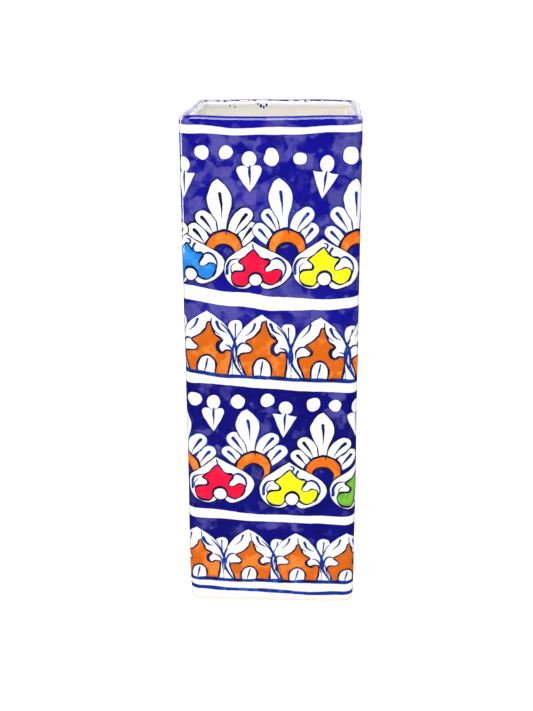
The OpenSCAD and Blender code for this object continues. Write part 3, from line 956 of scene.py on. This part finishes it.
def glaze_sheet(name):
    """The coat of glaze, flat: from the foot, up the wall and over the lip, and back inside."""
    coat = setting("coat")
    under_foot, tuck_steps, wall_steps, lip_steps = 2.16, 6, 118, 14
    tuck = [FOOT_Z - under_foot * k / tuck_steps for k in range(tuck_steps, 0, -1)]
    wall = [FOOT_Z + (LIP_Z - FOOT_Z) * k / wall_steps for k in range(wall_steps)]
    lip = [LIP_Z + math.pi * LIP_R * k / lip_steps for k in range(lip_steps + 1)]
    rows = [*tuck, *wall, *lip, OVER_LIP + 1.4, OVER_LIP + 3.4]
    behind_lining = 0.35  # how far the last row dives into the lining of the inside
    around = columns()
    points = []
    for depth in (0.0, -coat):
        for k, v in enumerate(rows):
            for s in around:
                ragged = 0.35 * noise.noise(on_drum(s, 0) / 6) if k == 0 else 0.0
                sunk = behind_lining if k == len(rows) - 1 and depth == 0 else 0.0
                points.append((s, v + ragged, depth - sunk))
    wide, layer = len(around), len(around) * len(rows)
    faces = []
    for k in range(len(rows) - 1):
        for i in range(wide - 1):
            a = k * wide + i
            faces.append((a, a + 1, a + wide + 1, a + wide))
            faces.append(tuple(layer + c for c in (a + wide, a + wide + 1, a + 1, a)))
    last = (len(rows) - 1) * wide
    for i in range(wide - 1):
        faces.append((i + 1, i, layer + i, layer + i + 1))
        faces.append((last + i, last + i + 1, layer + last + i + 1, layer + last + i))
    return mesh_of(name, points, faces)


def square_ring(half, radius, z):
    """A rounded square of points at one height, anticlockwise from above."""
    straight = max(half - radius, 0.01)
    ring = []
    for side in range(4):
        turn = math.radians(90 * side)
        bits = [(straight + radius, straight * k / 12) for k in range(-12, 12)]
        bits += [(straight + radius * math.cos(a), straight + radius * math.sin(a))
                 for a in (math.radians(90 * k / 8) for k in range(8))]
        ring += [(x * math.cos(turn) - y * math.sin(turn),
                  x * math.sin(turn) + y * math.cos(turn), z) for x, y in bits]
    return ring


def inside_lining(name):
    """The thin glaze of the inside: a closed skin from the mouth down over the floor."""
    fillet, radius, skin = 4.5, 4.6, 0.35
    neck, mouth = 290.5, 9.3  # from the neck up, over the mouth's height, the corners sharpen
    rings = []
    for grow in (0.0, skin):
        column = []
        for k in range(1, 9):
            part = k / 8
            column.append(square_ring((INSIDE - fillet) * part + grow * part,
                                      max(0.4, radius * part * 0.1), FLOOR_Z - grow))
        for k in range(1, 7):
            a = math.radians(15 * k)
            half = INSIDE - fillet + (fillet + grow) * math.sin(a)
            z = FLOOR_Z + fillet - (fillet + grow) * math.cos(a)
            column.append(square_ring(half, max(radius * k / 6, 0.5) + grow, z))
        for k in range(1, 50):
            column.append(square_ring(INSIDE + grow, radius + grow,
                                      FLOOR_Z + fillet + (neck - FLOOR_Z - fillet) * k / 49))
        for k in range(1, 7):
            sharp = radius + (0.8 - radius) * k / 6
            half = INSIDE + grow + 0.02 * k
            column.append(square_ring(half, sharp + grow, neck + mouth * k / 6))
        rings.append(column)
    inner, outer = rings
    loops = [*inner, *reversed(outer)]
    wide = len(loops[0])
    points = [p for loop in loops for p in loop]
    faces = []
    for k in range(len(loops) - 1):
        for i in range(wide):
            j = (i + 1) % wide
            faces.append((k * wide + i, (k + 1) * wide + i, (k + 1) * wide + j, k * wide + j))
    for k, z in ((0, FLOOR_Z), (len(loops) - 1, FLOOR_Z - skin)):
        points.append((0, 0, z))
        for i in range(wide):
            j = (i + 1) % wide
            a, b = (i, j) if k == 0 else (j, i)
            faces.append((k * wide + a, k * wide + b, len(points) - 1))
    waved = []
    for p in points:
        sway = noise.noise(Vector(p) / 45 + Vector((4, 4, 4)))
        calm = min(1, max(0, (296 - p[2]) / 20)) * min(1, max(0, p[2] - FLOOR_Z) / 20)
        pull = 1 - (0.5 + 0.5 * sway) * 0.7 * calm / INSIDE
        waved.append((p[0] * pull, p[1] * pull, p[2]))
    mesh = mesh_of(name, waved, faces)
    work = bmesh.new()
    work.from_mesh(mesh)
    bmesh.ops.recalc_face_normals(work, faces=work.faces)
    work.to_mesh(mesh)
    work.free()
    mesh.shade_smooth()
    mesh.set_sharp_from_angle(angle=math.radians(40))
    return mesh


# ------------------------------------------------------------------- materials


@functools.lru_cache(maxsize=None)
def wash_group():
    """Brushed colour: overlapping thick and thin dabs, a darker pool at each edge, painted corner
    shade.
    """
    tree, given, result = new_group("Brush wash", "ShaderNodeTree", [
        ("Thick", "NodeSocketColor", None),
        ("Thin", "NodeSocketColor", None),
        ("Amount", "NodeSocketFloat", 0.5),
        ("Dab", "NodeSocketFloat", 100.0),
        ("Edge width", "NodeSocketFloat", 0.8),
        ("Edge dark", "NodeSocketFloat", 0.4),
        ("Depth", "NodeSocketFloat", 0.0),
        ("Seed", "NodeSocketFloat", 0.0),
    ], [("Color", "NodeSocketColor")])
    where = tree.nodes.new("ShaderNodeTexCoord").outputs["Object"]
    shift = add(tree, "ShaderNodeCombineXYZ", {0: given.outputs["Seed"]})
    moved = add(tree, "ShaderNodeVectorMath", {0: where, 1: shift.outputs[0]}, operation="ADD")
    bend = add(tree, "ShaderNodeTexNoise", {"Vector": moved.outputs[0], "Scale": 75.0,
                                            "Detail": 2.0})
    centre = add(tree, "ShaderNodeVectorMath", {0: bend.outputs["Color"], 1: (0.5, 0.5, 0.5)},
                 operation="SUBTRACT")
    reach = add(tree, "ShaderNodeVectorMath", {0: centre.outputs[0], "Scale": 0.010},
                operation="SCALE")
    warped = add(tree, "ShaderNodeVectorMath", {0: moved.outputs[0], 1: reach.outputs[0]},
                 operation="ADD").outputs[0]
    dab = Field(given.outputs["Dab"])
    dabs = []
    for scale, squash in ((1.0, 0.7), (1.9, 0.5)):
        cells = add(tree, "ShaderNodeTexVoronoi", {"Vector": warped, "Scale": dab * scale,
                                                   "Smoothness": 0.4, "Randomness": 1.0},
                    feature="SMOOTH_F1")
        tone = add(tree, "ShaderNodeSeparateColor", {0: cells.outputs["Color"]})
        dabs.append(Field(tone.outputs[0]) * squash)
    cloud = noise_field(tree, moved.outputs[0], dab * 0.45, 3.0, 0.55)
    fine = noise_field(tree, warped, 300.0, 3.0, 0.6)
    load = dabs[0] + dabs[1] + cloud * 1.1 + fine * 0.18
    low = 1.62 - Field(given.outputs["Amount"]) * 1.05
    thin = load.smooth(low - 0.05, low + 0.5)
    edge_distance = add(tree, "ShaderNodeAttribute", attribute_name="edge").outputs["Fac"]
    width = Field(given.outputs["Edge width"]) * (0.4 + fine * 1.2)
    pool = (1 - Field(edge_distance).smooth(0.0, width)) * given.outputs["Edge dark"]
    thin = thin * (1 - pool)
    tone = add(tree, "ShaderNodeMix", data_type="RGBA")
    plug(tone.inputs["Factor"], thin)
    plug(tone.inputs[6], given.outputs["Thick"])
    plug(tone.inputs[7], given.outputs["Thin"])
    dark = add(tree, "ShaderNodeMix", data_type="RGBA", blend_type="MULTIPLY")
    deep_and_corner_shade = noise_field(tree, moved.outputs[0], dab * 0.6, 4.0, 0.6, 0.8).smooth(0.42, 0.66)
    corner = add(tree, "ShaderNodeSeparateXYZ", {0: where})
    off_x, off_y = (Field(corner.outputs[k]).calc("ABSOLUTE") for k in range(2))
    beside = off_x.least(off_y)
    # A painted shade also darkens a stripe where the flat wall turns into each upright corner.
    corner_shade = beside.smooth(0.0455, 0.0468) * (1 - beside.smooth(0.0472, 0.0490))
    deep_and_corner_shade = deep_and_corner_shade.most(corner_shade * (0.5 + fine))
    # The darkening joins the deep patches and the painted corner shade, both scaled by Depth.
    plug(dark.inputs["Factor"], pool.most(deep_and_corner_shade * given.outputs["Depth"]))
    plug(dark.inputs[6], tone.outputs[2])
    dark.inputs[7].default_value = (0.45, 0.5, 0.62, 1)
    plug(result.inputs["Color"], dark.outputs[2])
    return tree


@functools.lru_cache(maxsize=None)
def skin_group():
    """The skin of a fired glaze: long soft waves, pinholes and a slightly uneven gloss."""
    tree, given, result = new_group("Glaze skin", "ShaderNodeTree", [
        ("Wave", "NodeSocketFloat", 0.5),
        ("Gloss", "NodeSocketFloat", 0.1),
        ("Pinholes", "NodeSocketFloat", 0.5),
    ], [("Roughness", "NodeSocketFloat"), ("Height", "NodeSocketFloat")])
    where = tree.nodes.new("ShaderNodeTexCoord").outputs["Object"]
    slow = noise_field(tree, where, 70.0, 2.0, 0.5)
    small = noise_field(tree, where, 260.0, 2.0, 0.5)
    pores = add(tree, "ShaderNodeTexVoronoi", {"Vector": where, "Scale": 210.0})
    rare = add(tree, "ShaderNodeSeparateColor", {0: pores.outputs["Color"]})
    hole = (1 - Field(pores.outputs["Distance"]).smooth(0.0, 0.14)) * Field(
        rare.outputs[0]).smooth(0.86, 0.9)
    hole = hole * given.outputs["Pinholes"]
    height = Field(given.outputs["Wave"]) * (slow + small * 0.22) - hole * 0.25
    rough = Field(given.outputs["Gloss"]) * (0.7 + small * 0.6) + hole * 0.2
    plug(result.inputs["Roughness"], rough)
    plug(result.inputs["Height"], height)
    return tree


def new_material(name):
    material = bpy.data.materials.new(name)
    material.use_nodes = True
    tree = material.node_tree
    return material, tree, tree.nodes["Principled BSDF"]


def glazed(material_name, color, wave=0.5, gloss=0.1, pinholes=0.15):
    """A glossy fired finish; color makes the colour field or value from the tree."""
    material, tree, shader = new_material(material_name)
    skin = add(tree, "ShaderNodeGroup", node_tree=skin_group())
    for name, value in (("Wave", wave), ("Gloss", gloss), ("Pinholes", pinholes)):
        skin.inputs[name].default_value = value
    bump = add(tree, "ShaderNodeBump", {"Height": skin.outputs["Height"], "Distance": 0.0005,
                                        "Strength": 0.6})
    plug(shader.inputs["Roughness"], skin.outputs["Roughness"])
    plug(shader.inputs["Normal"], bump.outputs[0])
    plug(shader.inputs["Base Color"], color(tree))
    return material


def washed(name, thick, thin, amount, dab, edge_width=0.8, edge_dark=0.4, seed=0.0, depth=0.0):
    """A glazed material whose colour is brushed from thick to thin."""

    def color(tree):
        wash = add(tree, "ShaderNodeGroup", node_tree=wash_group())
        wash.inputs["Thick"].default_value = (*thick, 1)
        wash.inputs["Thin"].default_value = (*thin, 1)
        for label, value in (("Amount", amount), ("Dab", dab), ("Edge width", edge_width),
                             ("Edge dark", edge_dark), ("Seed", seed), ("Depth", depth)):
            wash.inputs[label].default_value = value
        return wash.outputs["Color"]

    return glazed(name, color)


def tint(value, by):
    return tuple(min(1.0, c * by) for c in value)


def white_color(tree):
    """Tin glaze: warm and cool clouds, thin and pinkish over the clay at the foot."""
    where = tree.nodes.new("ShaderNodeTexCoord").outputs["Object"]
    height = Field(add(tree, "ShaderNodeSeparateXYZ", {0: where}).outputs[2])
    cloud = noise_field(tree, where, 34.0, 3.0, 0.55)
    ragged = noise_field(tree, where, 150.0, 4.0, 0.6)
    c = colours().white
    base = add(tree, "ShaderNodeMix", data_type="RGBA")
    plug(base.inputs["Factor"], cloud.smooth(0.4, 0.75))
    base.inputs[6].default_value = (*c, 1)
    base.inputs[7].default_value = (*tint(c, 0.955), 1)
    foot = add(tree, "ShaderNodeMix", data_type="RGBA")
    plug(foot.inputs["Factor"], 1 - (height + ragged * 0.003).smooth(0.002, 0.0062))
    plug(foot.inputs[6], base.outputs[2])
    foot.inputs[7].default_value = (0.80, 0.66, 0.60, 1)
    return foot.outputs[2]


def cream_color(tree):
    """Thin glaze of the inside: it is darker where it ran thin, with a few fine specks."""
    where = tree.nodes.new("ShaderNodeTexCoord").outputs["Object"]
    cloud = noise_field(tree, where, 26.0, 4.0, 0.6)
    speck = noise_field(tree, where, 900.0, 2.0, 0.5)
    c = colours().cream
    base = add(tree, "ShaderNodeMix", data_type="RGBA")
    plug(base.inputs["Factor"], cloud.smooth(0.38, 0.72) * 0.8 + speck.smooth(0.62, 0.7) * 0.2)
    base.inputs[6].default_value = (*c, 1)
    base.inputs[7].default_value = (c[0] * 0.96, c[1] * 0.93, c[2] * 0.87, 1)
    return base.outputs[2]


def rim_color(tree):
    """Cobalt of the rim: thick in front, worn to a pale wash along the sides and the crest."""
    wash = add(tree, "ShaderNodeGroup", node_tree=wash_group())
    wash.inputs["Thick"].default_value = (*colours().cobalt, 1)
    wash.inputs["Thin"].default_value = (*colours().cobalt_wash, 1)
    for label, value in (("Amount", 0.42), ("Dab", 90.0), ("Edge dark", 0.2)):
        wash.inputs[label].default_value = value
    where = tree.nodes.new("ShaderNodeTexCoord").outputs["Object"]
    place = add(tree, "ShaderNodeSeparateXYZ", {0: where})
    streak = noise_field(tree, where, 130.0, 4.0, 0.6, 0.6)
    sides = Field(place.outputs[0]).calc("ABSOLUTE").smooth(0.0480, 0.0505)
    behind = Field(place.outputs[1]).smooth(0.035, 0.046)
    back_gap = behind * streak.smooth(0.54, 0.68) * 0.5
    crest = Field(place.outputs[2]).smooth(0.3006, 0.3024)
    side_gap = sides * crest * (1 - behind) * streak.smooth(0.34, 0.54)
    worn = side_gap.most(back_gap)
    pale = add(tree, "ShaderNodeMix", data_type="RGBA")
    plug(pale.inputs["Factor"], worn)
    plug(pale.inputs[6], wash.outputs["Color"])
    pale.inputs[7].default_value = (0.70, 0.73, 0.90, 1)
    return pale.outputs[2]


@functools.lru_cache(maxsize=None)
def paint_material(name):
    """The material of one paint, made when a piece first needs it."""
    c = colours()
    # The depth of both cobalts also sets how dark the painted shade along the upright corners is.
    if name == "cobalt":
        return washed("Cobalt", c.cobalt, c.cobalt_wash, 0.56, 105.0, depth=0.5)
    if name == "cobalt below":
        return washed("Cobalt below", tint(c.cobalt, 0.68), tint(c.cobalt_wash, 0.86), 0.33, 100.0,
                      seed=0.7, depth=0.8)
    if name == "rim":
        return glazed("Rim cobalt", rim_color, wave=0.25, gloss=0.05)
    if name == "line":
        return washed("Blue line", tint(c.line_blue, 0.7), (0.04, 0.10, 0.50), 0.25, 240.0,
                      edge_dark=0.0)
    if name == "navy":
        return washed("Navy line", c.navy, (0.012, 0.02, 0.12), 0.4, 200.0, edge_dark=0.0)
    if name == "moon":
        return washed("Orange", c.orange, c.orange_wash, 0.5, 150.0, 1.8, 0.18, 1.3)
    if name == "gate":
        return washed("Burnt orange", tint(c.orange, 0.79), tint(c.orange_wash, 0.9), 0.42,
                      105.0, 1.2, 0.15, 2.1)
    if name == "red":
        return washed("Red", c.red, (0.97, 0.012, 0.07), 0.4, 90.0, 0.9, 0.15)
    if name == "yellow":
        return washed("Yellow", c.yellow, (0.98, 0.95, 0.03), 0.4, 90.0, 0.9, 0.08)
    if name == "sky":
        return washed("Sky blue", c.sky, (0.05, 0.33, 0.82), 0.5, 150.0, 1.4, 0.2, 0.4)
    return washed("Green", c.green, (0.24, 0.55, 0.06), 0.5, 150.0, 1.4, 0.25, 0.9)


def clay_material():
    """Bare fired clay with grit, darker grains and a dusty surface."""
    material, tree, shader = new_material("Terracotta")
    where = tree.nodes.new("ShaderNodeTexCoord").outputs["Object"]
    cloud = noise_field(tree, where, 40.0, 4.0, 0.6)
    grit = noise_field(tree, where, 1500.0, 3.0, 0.6)
    grains = add(tree, "ShaderNodeTexVoronoi", {"Vector": where, "Scale": 500.0})
    grain = 1 - Field(grains.outputs["Distance"]).smooth(0.08, 0.2)
    c = colours().clay
    base = add(tree, "ShaderNodeMix", data_type="RGBA")
    plug(base.inputs["Factor"], cloud.smooth(0.3, 0.7))
    base.inputs[6].default_value = (*c, 1)
    base.inputs[7].default_value = (c[0] * 1.2, c[1] * 1.25, c[2] * 1.35, 1)
    speck = add(tree, "ShaderNodeMix", data_type="RGBA")
    plug(speck.inputs["Factor"], grain * 0.35 + grit.smooth(0.6, 0.75) * 0.25)
    plug(speck.inputs[6], base.outputs[2])
    speck.inputs[7].default_value = (0.22, 0.11, 0.07, 1)
    bump = add(tree, "ShaderNodeBump", {"Height": grit + cloud * 0.6 - grain * 0.4,
                                        "Distance": 0.0002, "Strength": 0.5})
    plug(shader.inputs["Base Color"], speck.outputs[2])
    plug(shader.inputs["Roughness"], 0.78 + grit * 0.15)
    plug(shader.inputs["Normal"], bump.outputs[0])
    return material


# ------------------------------------------------------------------- operators


class GlazeWall(bpy.types.Operator):
    """Coats the wall and the lip with white tin glaze"""

    bl_idname = "vase.glaze_wall"
    bl_label = "Glaze the wall"

    def execute(self, context):
        material = glazed("White glaze", white_color, wave=0.6, gloss=0.09, pinholes=0.8)
        wall = wrapped("white_glaze_coat", glaze_sheet("white_glaze_coat"), material)
        finished(wall, ("outer_glaze", "rim_glaze"))
        return {"FINISHED"}


class GlazeInside(bpy.types.Operator):
    """Lines the inside with thin cream glaze"""

    bl_idname = "vase.glaze_inside"
    bl_label = "Glaze the inside"

    def execute(self, context):
        mesh = inside_lining("cream_glaze_lining")
        mesh.materials.append(glazed("Cream glaze", cream_color, wave=0.8, gloss=0.16,
                                     pinholes=1.0))
        lining = bpy.data.objects.new("cream_glaze_lining", mesh)
        context.collection.objects.link(lining)
        finished(lining, ("inner_glaze",))
        return {"FINISHED"}


class PaintGrounds(bpy.types.Operator):
    """Brushes the cobalt grounds round the four bands"""

    bl_idname = "vase.paint_grounds"
    bl_label = "Paint the cobalt grounds"

    def execute(self, context):
        for band, node in (("upper flowers", "upper_flower_cobalt"),
                           ("upper arches", "upper_arch_cobalt"),
                           ("lower flowers", "lower_flower_cobalt"),
                           ("lower arches", "lower_arch_cobalt")):
            tone = "cobalt" if band.startswith("upper") else "cobalt below"
            lay_paint(band.replace(" ", "_") + "_ground", "ground", (band,),
                      paint_material(tone), (node,))
        return {"FINISHED"}


class PaintRimAndFoot(bpy.types.Operator):
    """Brushes the rim and draws the line round the foot"""

    bl_idname = "vase.paint_rim_and_foot"
    bl_label = "Paint the rim and the foot line"

    def execute(self, context):
        lay_paint("rim_band", "ground", ("rim",), paint_material("rim"),
                  ("rim_paint",))
        lay_paint("foot_ring", "ground", ("foot ring",), paint_material("line"),
                  ("foot_line",))
        return {"FINISHED"}


class PaintColours(bpy.types.Operator):
    """Fills the moons, the gates and the hearts of the blossoms"""

    bl_idname = "vase.paint_colours"
    bl_label = "Fill in the colours"

    def execute(self, context):
        flowers = ("upper flowers", "lower flowers")
        arches = ("upper arches", "lower arches")
        for name, paint, bands, slot, node in (
                ("moon_orange", "moon", flowers, "orange_paint", "orange_moons"),
                ("gate_orange", "gate", arches, "orange_paint", "orange_gates"),
                ("heart_red", "red", flowers, "red_paint", "red_blossoms"),
                ("heart_yellow", "yellow", flowers, "yellow_paint", "yellow_blossoms"),
                ("heart_sky_blue", "sky", flowers, "sky_blue_paint", "blue_blossoms"),
                ("heart_green", "green", flowers, "green_paint", "green_blossoms")):
            lay_paint(name, paint, bands, paint_material(paint), (node,))
        return {"FINISHED"}


class DrawLines(bpy.types.Operator):
    """Draws the navy outlines and the blue brush lines"""

    bl_idname = "vase.draw_lines"
    bl_label = "Draw the lines"

    def execute(self, context):
        bands = ("upper flowers", "upper arches", "lower flowers", "lower arches")
        lay_paint("navy_outlines", "navy", bands, paint_material("navy"),
                  ("navy_strokes",))
        lay_paint("blue_brush_lines", "line", bands, paint_material("line"))
        return {"FINISHED"}


class FinishClay(bpy.types.Operator):
    """Gives the slabs and coils their bare fired surface"""

    bl_idname = "vase.finish_clay"
    bl_label = "Fire the clay"

    def execute(self, context):
        material = clay_material()
        clay = [row["node"] for row in frame["record"]["subparts"]
                if row["material_slot"] == "terracotta"]
        if not clay:
            raise RuntimeError("the record names no clay pieces")
        for node in clay:
            slots = frame["nodes"][node].data.materials
            slots.clear()
            slots.append(material)
        return {"FINISHED"}


class BuildStage(bpy.types.Operator):
    """Sets the pale floor, the soft lights and the camera"""

    bl_idname = "vase.build_stage"
    bl_label = "Build the stage"

    def execute(self, context):
        scene = context.scene
        stage = scene.vase_stage
        pale, tree, shader = new_material("Pale floor")
        shader.inputs["Base Color"].default_value = (0.93, 0.93, 0.93, 1)
        shader.inputs["Roughness"].default_value = 0.9
        shader.inputs["Specular IOR Level"].default_value = 0.1
        shader.inputs["Emission Color"].default_value = (1, 1, 1, 1)
        shader.inputs["Emission Strength"].default_value = 0.64
        dim = add(tree, "ShaderNodeBsdfDiffuse")
        dim.inputs["Color"].default_value = (0.06, 0.06, 0.07, 1)
        seen = tree.nodes.new("ShaderNodeLightPath").outputs["Is Glossy Ray"]
        floor_mix = add(tree, "ShaderNodeMixShader", {0: seen, 1: shader.outputs[0],
                                                      2: dim.outputs[0]})
        below = tree.nodes.new("ShaderNodeNewGeometry").outputs["Backfacing"]
        clear = add(tree, "ShaderNodeBsdfTransparent")
        one_sided = add(tree, "ShaderNodeMixShader", {0: below, 1: floor_mix.outputs[0],
                                                      2: clear.outputs[0]})
        plug(tree.nodes["Material Output"].inputs["Surface"], one_sided.outputs[0])
        sheet = bpy.data.meshes.new("floor")
        half = 6.0
        sheet.from_pydata([(-half, -half, 0), (half, -half, 0), (half, half, 0),
                           (-half, half, 0)], [], [(0, 1, 2, 3)])
        sheet.materials.append(pale)
        floor = bpy.data.objects.new("floor", sheet)
        context.collection.objects.link(floor)

        world = bpy.data.worlds.new("Even light")
        scene.world = world
        world.use_nodes = True
        even = world.node_tree.nodes["Background"]
        plain = add(world.node_tree, "ShaderNodeBackground", {"Strength": 1.0})
        plain.inputs["Color"].default_value = (1, 1, 1, 1)
        even.inputs["Color"].default_value = (1, 1, 1, 1)
        ray = world.node_tree.nodes.new("ShaderNodeLightPath")
        way = world.node_tree.nodes.new("ShaderNodeTexCoord").outputs["Generated"]
        way = add(world.node_tree, "ShaderNodeSeparateXYZ", {0: way})
        # A shine sees a bright screen low behind the vase, and a dim room everywhere else.
        behind = Field(way.outputs[1]).smooth(0.15, 0.5)
        screen = behind * (1 - Field(way.outputs[2]).smooth(0.5, 0.8))
        glossy = Field(ray.outputs["Is Glossy Ray"]) * (screen - 0.9 * stage.sky)
        plug(even.inputs["Strength"], glossy + stage.sky)
        mix = add(world.node_tree, "ShaderNodeMixShader", {0: ray.outputs["Is Camera Ray"],
                                                           1: even.outputs[0],
                                                           2: plain.outputs[0]})
        plug(world.node_tree.nodes["World Output"].inputs["Surface"], mix.outputs[0])

        for name, place, aim, size, power, shine_only in (
                ("window", (-0.75, -0.85, 0.75), (0, 0, 0.15), (0.35, 0.9), stage.key, False),
                ("overhead", (0.05, -0.3, 1.2), (0, 0, 0.3), (0.6, 0.5), stage.key * 2.3, False),
                ("fill", (1.1, -0.9, 0.5), (0, 0, 0.15), (0.9, 0.9), stage.key * 0.4, False),
                ("strip", (-1.0, 0.32, 0.3), (0, 0, 0.16), (0.24, 1.1), stage.key * 3, True),
                ("bar", (0, -0.8, 1.3), (0, 0, 0.3), (1.3, 0.06), stage.key * 2.5, True)):
            lamp = bpy.data.lights.new(name, "AREA")
            lamp.shape = "RECTANGLE"
            lamp.size, lamp.size_y = size
            lamp.energy = power
            light = bpy.data.objects.new(name, lamp)
            light.visible_diffuse = not shine_only
            context.collection.objects.link(light)
            light.location = place
            sight = Vector(aim) - Vector(place)
            light.rotation_euler = sight.to_track_quat("-Z", "Y").to_euler()

        eye = bpy.data.cameras.new("camera")
        eye.lens = stage.lens
        eye.sensor_width = 36.0
        camera = bpy.data.objects.new("camera", eye)
        context.collection.objects.link(camera)
        camera.location = EYE
        camera.rotation_euler = (Matrix.Rotation(math.radians(EYE_TURN), 4, "Z")
                                 @ Matrix.Rotation(math.radians(90 - EYE_TIP), 4, "X")
                                 @ Matrix.Rotation(math.radians(EYE_ROLL), 4, "Z")).to_euler()
        scene.camera = camera
        scene.view_settings.view_transform = "Standard"
        return {"FINISHED"}


STEPS = (GlazeWall, GlazeInside, PaintGrounds, PaintRimAndFoot, PaintColours, DrawLines,
         FinishClay, BuildStage)


class VasePanel(bpy.types.Panel):
    bl_idname = "VIEW3D_PT_talavera_vase"
    bl_label = "Talavera vase"
    bl_space_type = "VIEW_3D"
    bl_region_type = "UI"
    bl_category = "Vase"

    def draw(self, context):
        for settings in (context.scene.vase_body, context.scene.vase_colours,
                         context.scene.vase_stage):
            box = self.layout.box()
            for name in settings.bl_rna.properties.keys():
                if name not in ("rna_type", "name"):
                    box.prop(settings, name)
        for step in STEPS:
            self.layout.operator(step.bl_idname)


GROUPS = (VaseBody, VaseColours, VaseStage)


def register():
    for kind in (*GROUPS, *STEPS, VasePanel):
        bpy.utils.register_class(kind)
    bpy.types.Scene.vase_body = PointerProperty(type=VaseBody)
    bpy.types.Scene.vase_colours = PointerProperty(type=VaseColours)
    bpy.types.Scene.vase_stage = PointerProperty(type=VaseStage)


def unregister():
    del bpy.types.Scene.vase_stage
    del bpy.types.Scene.vase_colours
    del bpy.types.Scene.vase_body
    for kind in reversed((*GROUPS, *STEPS, VasePanel)):
        bpy.utils.unregister_class(kind)


def main():
    register()
    for step in STEPS:
        family, name = step.bl_idname.split(".")
        getattr(getattr(bpy.ops, family), name)()


if __name__ == "__main__":
    main()
